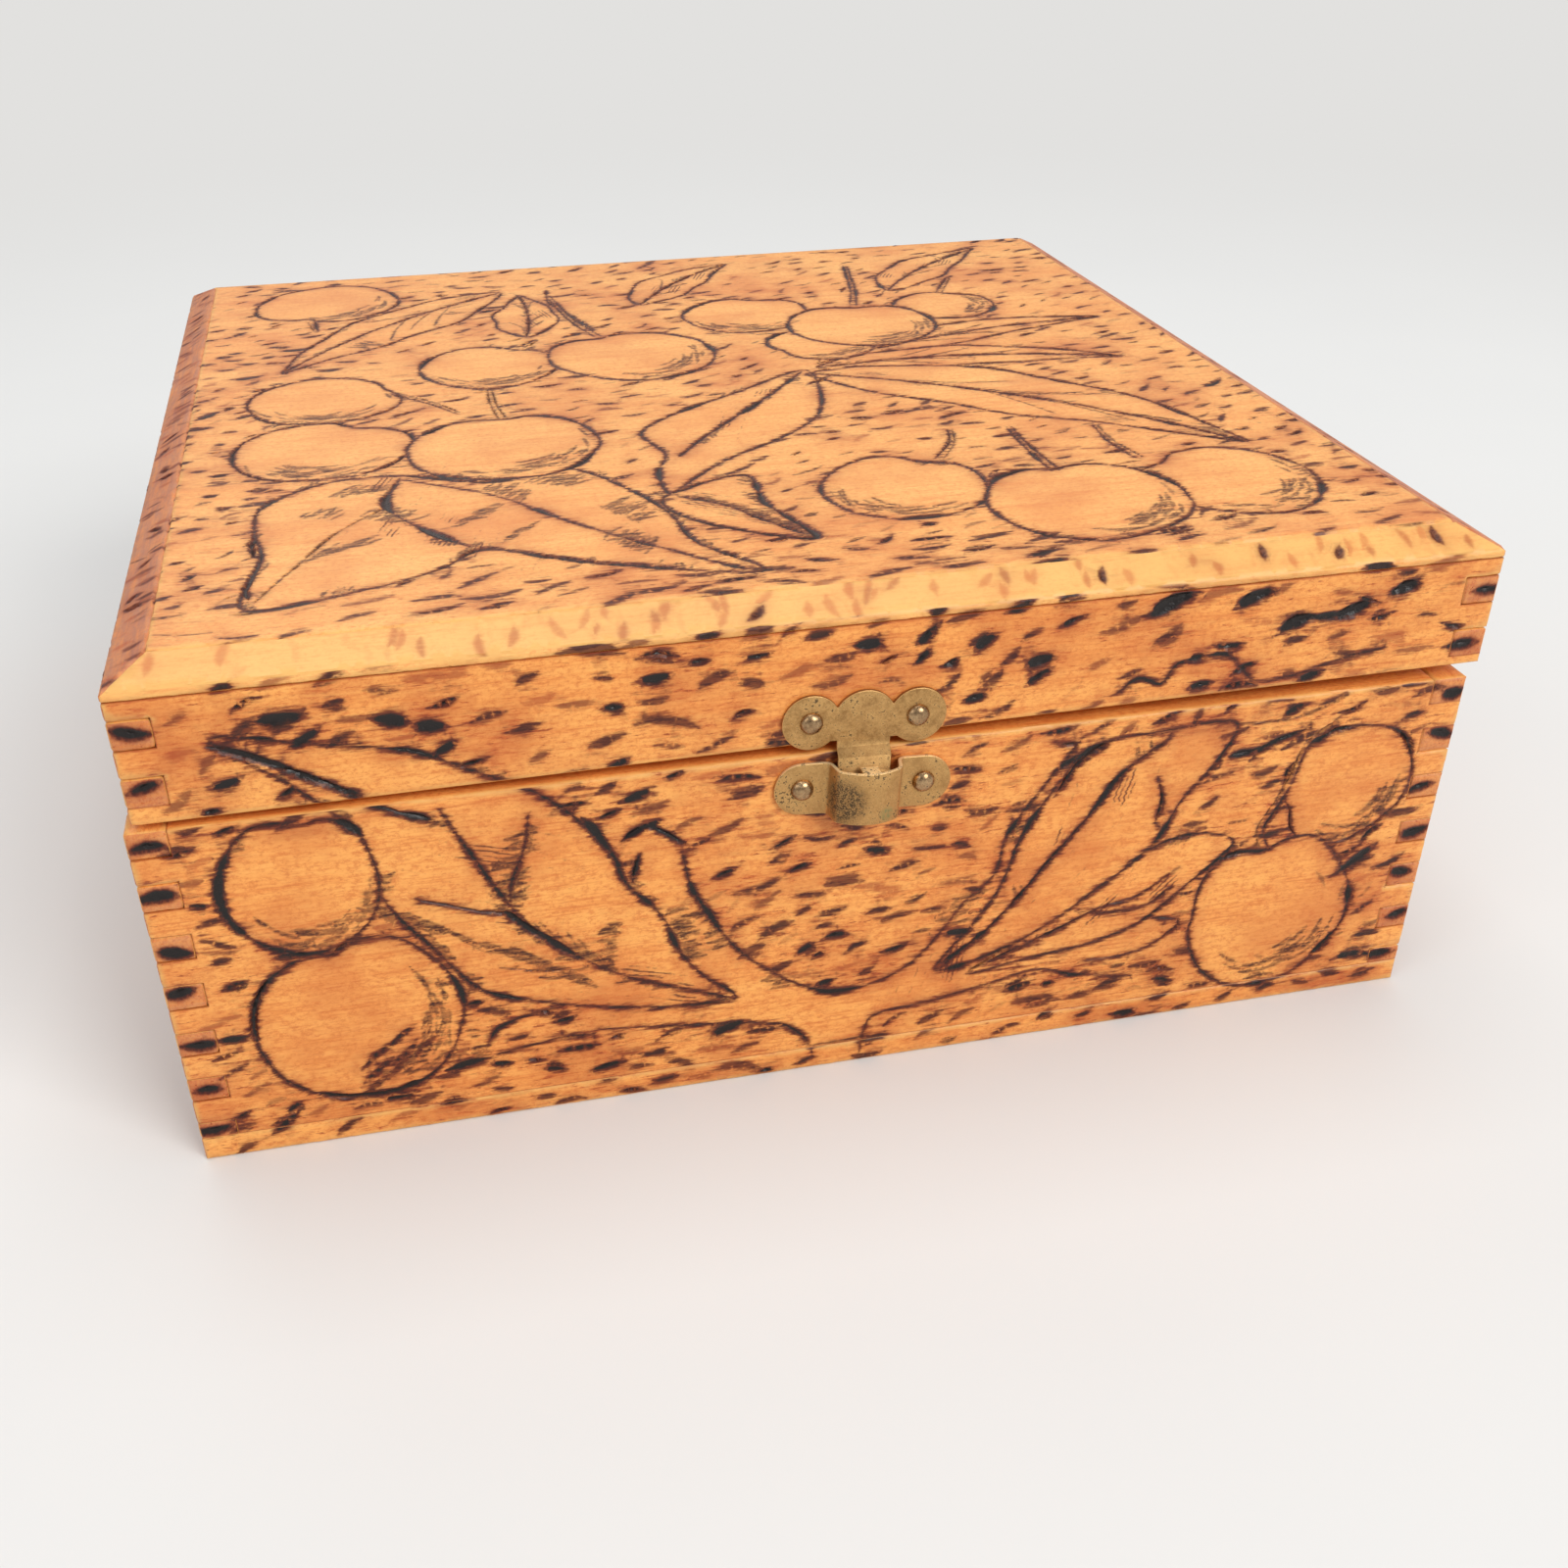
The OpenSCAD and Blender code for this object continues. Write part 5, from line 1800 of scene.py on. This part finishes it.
    def make(self, material: bpy.types.Material) -> bpy.types.Object:
        """Sets the nails of one body and puts them in their nodes' place."""
        tree = self.tree(material)
        host = bpy.data.objects.new(self.name + "_host", bpy.data.meshes.new(self.name + "_host"))
        bpy.context.scene.collection.objects.link(host)
        spots = [self.spots(node) for node in self.nodes]
        start, step = spots[0][0], spots[0][1] - spots[0][0]
        row = spots[1][0] - spots[0][0] if len(spots) > 1 else np.zeros(3)
        if self.kind is HeadKind.DOMED:
            turn, start = (math.pi / 2, 0.0, 0.0), start + (0, self.head_height + self.dents * 0.6, 0)
        else:
            turn = (0.0, 0.0, 0.0) if self.body == "box" else (math.pi, 0.0, 0.0)
        modifier = host.modifiers.new("rows", "NODES")
        modifier.node_group = tree
        given = {
            "Start": tuple(start), "Step": tuple(step), "Row Step": tuple(row), "Turn": turn,
            "Head Radius": self.head, "Head Height": self.head_height, "Shank Radius": self.shank,
            "Length": self.length, "Dents": self.dents, "Rows": len(spots), "Seed": 5,
        }
        for item in tree.interface.items_tree:
            if item.in_out == "INPUT":
                modifier[item.identifier] = given[item.name]
        bpy.context.view_layer.update()
        shaped = host.evaluated_get(bpy.context.evaluated_depsgraph_get())
        mesh = bpy.data.meshes.new_from_object(shaped)
        host.modifiers.remove(modifier)
        bpy.data.objects.remove(host)
        mesh.shade_smooth()
        mesh.set_sharp_from_angle(angle=math.radians(self.crease))
        piece = bpy.data.objects.new(self.name, mesh)
        bpy.context.scene.collection.objects.link(piece)
        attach(piece, self.body)
        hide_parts(*self.nodes)
        log.info("%s: %d faces", self.name, len(mesh.polygons))
        return piece


@dataclass
class BrassPart:
    """A sheet brass piece: its solid's own shape with softened edges."""

    node: str
    body: str
    slot: str
    soften: float = 0.13
    steps: int = 2
    fold: float = 50.0
    crease: float = 55.0

    def make(self, material: bpy.types.Material) -> bpy.types.Object:
        """Makes the piece and puts it in its node's place."""
        bm = bmesh.new()
        bm.from_mesh(NODES[self.node].data)
        for v in bm.verts:
            v.co /= MM
        bmesh.ops.remove_doubles(bm, verts=bm.verts, dist=0.001)
        bmesh.ops.dissolve_limit(
            bm, angle_limit=math.radians(0.4), verts=bm.verts, edges=bm.edges, use_dissolve_boundaries=False,
        )
        fold = math.radians(self.fold)
        whole = [e for e in bm.edges if len(e.link_faces) == 2 and e.is_convex]
        sharp = [e for e in whole if e.calc_face_angle(0) > fold]
        rounded = bmesh.ops.bevel(
            bm, geom=sharp, offset=self.soften, offset_type="OFFSET", segments=self.steps, profile=0.5,
            affect="EDGES", clamp_overlap=True, loop_slide=True, miter_outer="SHARP", miter_inner="SHARP",
        )
        # Points on the rounded edges, which the finish paints with a highlight
        rim = bm.verts.layers.float.new("edge")
        soft = set(rounded["faces"])
        for v in bm.verts:
            v[rim] = float(all(f in soft for f in v.link_faces))
        bmesh.ops.triangulate(bm, faces=[f for f in bm.faces if len(f.verts) > 4])
        bm.normal_update()
        # How much each face looks up, which the finish uses for painted shade or a painted highlight
        ledge = bm.faces.layers.float.new("ledge")
        for f in bm.faces:
            f[ledge] = max(0.0, f.normal.z)
        for v in bm.verts:
            v.co *= MM
        mesh = bpy.data.meshes.new(self.node + "_sheet")
        bm.to_mesh(mesh)
        bm.free()
        mesh.shade_smooth()
        mesh.set_sharp_from_angle(angle=math.radians(self.crease))
        mesh.materials.clear()
        mesh.materials.append(material)
        piece = bpy.data.objects.new(self.node + "_sheet", mesh)
        bpy.context.scene.collection.objects.link(piece)
        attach(piece, self.body)
        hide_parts(self.node)
        log.info("%s: %d faces", self.node, len(mesh.polygons))
        return piece


# ---------------------------------------------------------------- sub-assemblies


@dataclass
class Woodwork:
    """The boards of the box and the rails and panel of the lid."""

    ornament: Ornament = field(default_factory=Ornament)
    finish: BurntWood = field(default_factory=BurntWood)
    # The lid top: a paler, less saturated copy of the wood that paints the sky's sheen on the upward face,
    # with browner char and fewer smears
    top_finish: BurntWood = BurntWood(
        pale=linear(
            254, 192, 114,
        ), warm=linear(246, 166, 92), deep=linear(224, 134, 74), char=linear(44, 24, 16), smear=0.25
    )

    def make(self) -> None:
        """Makes every wooden piece."""
        boards = Boards()
        sides = self.ornament.sides()
        across = (
            "box_front_board", "box_back_board", "bottom_board", "lid_front_rail", "lid_back_rail",
            "lid_panel",
        )
        along = ("box_left_board", "box_right_board", "lid_left_rail", "lid_right_rail")
        for seed, node in enumerate(across + along, 1):
            grain = Axis.ACROSS if node in across else Axis.ALONG
            body = "lid" if node.startswith("lid") else "box"
            slot = "panel_wood" if node == "lid_panel" else "wood"
            finish = self.top_finish if node == "lid_panel" else self.finish
            CarvedBoard(node, body, grain, seed, sides, boards).make(finish, slot)


@dataclass
class Catch:
    """The hasp on the lid, the keeper on the box and their four domed nails."""

    head: float = 2.0 * MM
    head_height: float = 1.6 * MM
    shank: float = 0.7 * MM
    length: float = 6.0 * MM
    dents: float = 0.12 * MM

    def make(self) -> None:
        """Makes both plates and their nails."""
        brass = AgedBrass()
        # The hasp's up-facing faces, such as the bend of its tongue, get the brown painted shade
        BrassPart("hasp", "lid", "catch_brass").make(brass.dress("hasp_brass", 3, 0.35, 0.5))
        keeper_brass = brass.dress(
            "keeper_brass",
            8,
            0.4,
            0.2,
            # Painted highlight: the keeper's up-facing faces, the top of the bridge and the lug, are painted
            # pale
            ledge=linear(248, 222, 170),
            tarnish=(-1.8, -119.0, 59.8, 5.2),
            bloom=(6.0, -119.4, 57.0, 1.7),
        )
        BrassPart("keeper", "box", "catch_brass").make(keeper_brass)
        nails = AgedBrass(
            bright=linear(208, 174, 130),
            dull=linear(148, 116, 84),
            brown=linear(96, 68, 48),
            dark=linear(40, 30, 24),
            green=linear(90, 90, 70),
            roughness=0.27,
        )
        metal = nails.dress("nail_brass", 5, 0.15, 0.5)
        for name, node, body in (
            ("keeper_nail_heads", "keeper_nails", "box"), ("hasp_nail_heads", "hasp_nails", "lid"),
        ):
            NailRows(
                name, (node,), body, "nail_heads", HeadKind.DOMED,
                self.head, self.head_height, self.shank, self.length, self.dents,
            ).make(metal)


@dataclass
class Hinges:
    """The two butt hinges at the back, with their pins and nails."""

    head: float = 1.2 * MM
    head_height: float = 0.6 * MM
    shank: float = 0.6 * MM
    length: float = 8.5 * MM

    def make(self) -> None:
        """Makes the leaves, the pins and the nails."""
        # The hinges' up-facing faces get the brown painted shade and their rims the painted highlight
        brass = AgedBrass().dress("hinge_brass", 12, 0.45, 0.6)
        for side in ("left", "right"):
            BrassPart(side + "_hinge_box_leaf", "box", "hinge_brass", 0.08, 1).make(brass)
            BrassPart(side + "_hinge_lid_leaf", "lid", "hinge_brass", 0.08, 1).make(brass)
            BrassPart(side + "_hinge_pin", "box", "hinge_brass", 0.1, 2).make(brass)
        for body in ("box", "lid"):
            nodes = tuple(f"{side}_hinge_{body}_nails" for side in ("left", "right"))
            NailRows(
                f"hinge_{body}_nail_heads", nodes, body, "hinge_brass", HeadKind.SUNK,
                self.head, self.head_height, self.shank, self.length,
            ).make(brass)


# ---------------------------------------------------------------- the studio


@dataclass(frozen=True)
class Lamp:
    """A square soft light: its place and the length of its side in metres, its power and its colour."""

    name: str
    place: tuple[float, float, float]
    size: float
    watts: float
    colour: tuple[float, float, float] = (1.0, 1.0, 1.0)


@dataclass
class Studio:
    """The floor, the lights and the camera at the photograph's angle."""

    eye: tuple[float, float, float] = (-0.06487, -0.34319, 0.20073)
    forward: tuple[float, float, float] = (0.17954, 0.81540, -0.55036)
    up: tuple[float, float, float] = (0.12712, 0.53553, 0.83489)
    lens: float = 37.95
    shift: tuple[float, float] = (0.01453, 0.05315)
    sensor: float = 36.0
    clip: tuple[float, float] = (0.01, 50.0)
    floor: float = 5.0
    aim: tuple[float, float, float] = (0.0, 0.0, 0.05)
    room: tuple[float, float, float, float] = (0.44, 0.445, 0.455, 1.0)
    lamps: tuple[Lamp, ...] = (
        Lamp("key", (1.3, -2.1, 1.9), 1.5, 54.0, (1.0, 0.99, 0.975)),
        Lamp("fill", (-2.2, -1.6, 1.7), 1.6, 12.0),
        Lamp("overhead", (0.0, 0.3, 2.6), 1.8, 24.0),
        Lamp("back", (-0.6, 2.6, 2.3), 1.6, 9.0),
    )

    def camera(self) -> None:
        """Sets the camera up."""
        data = bpy.data.cameras.new("camera")
        data.lens, data.sensor_width, data.sensor_fit = self.lens, self.sensor, "AUTO"
        data.shift_x, data.shift_y = self.shift
        data.clip_start, data.clip_end = self.clip
        camera = bpy.data.objects.new("camera", data)
        forward, up = Vector(self.forward).normalized(), Vector(self.up)
        right = forward.cross(up).normalized()
        up = right.cross(forward)
        turn = Matrix((right, up, -forward)).transposed().to_4x4()
        camera.matrix_world = Matrix.Translation(self.eye) @ turn
        bpy.context.scene.collection.objects.link(camera)
        bpy.context.scene.camera = camera

    def light(self, lamp: Lamp) -> None:
        """Hangs one light that looks at the box."""
        data = bpy.data.lights.new(lamp.name, "AREA")
        data.shape, data.size, data.energy, data.color = "SQUARE", lamp.size, lamp.watts, lamp.colour
        hung = bpy.data.objects.new(lamp.name, data)
        way = Vector(self.aim) - Vector(lamp.place)
        hung.matrix_world = Matrix.Translation(lamp.place) @ way.to_track_quat("-Z", "Y").to_matrix().to_4x4()
        bpy.context.scene.collection.objects.link(hung)

    def surroundings(self) -> None:
        """Lays the floor and sets the pale surroundings."""
        mesh = bpy.data.meshes.new("floor")
        f = self.floor
        mesh.from_pydata([(-f, -f, 0), (f, -f, 0), (f, f, 0), (-f, f, 0)], [], [(0, 1, 2, 3)])
        floor = bpy.data.objects.new("floor", mesh)
        mesh.materials.append(PaleFloor().dress("floor_paint"))
        bpy.context.scene.collection.objects.link(floor)
        r = Recipe(bpy.data.worlds.new("pale_room"))
        seen = r.node("ShaderNodeLightPath", out="Is Camera Ray")
        back = r.node("ShaderNodeBackground", None, {"Color": r.blend(seen, self.room, PaleFloor().far)})
        bpy.context.scene.world = r.finish(back, "ShaderNodeOutputWorld")

    def make(self) -> None:
        """Sets everything up."""
        scene = bpy.context.scene
        scene.view_settings.view_transform = "Standard"
        self.camera()
        self.surroundings()
        for lamp in self.lamps:
            self.light(lamp)


def main() -> None:
    """Builds the studio and every sub-assembly."""
    logging.basicConfig(level=logging.INFO, format="%(message)s")
    Studio().make()
    Woodwork().make()
    Catch().make()
    Hinges().make()


if __name__ == "__main__":
    main()
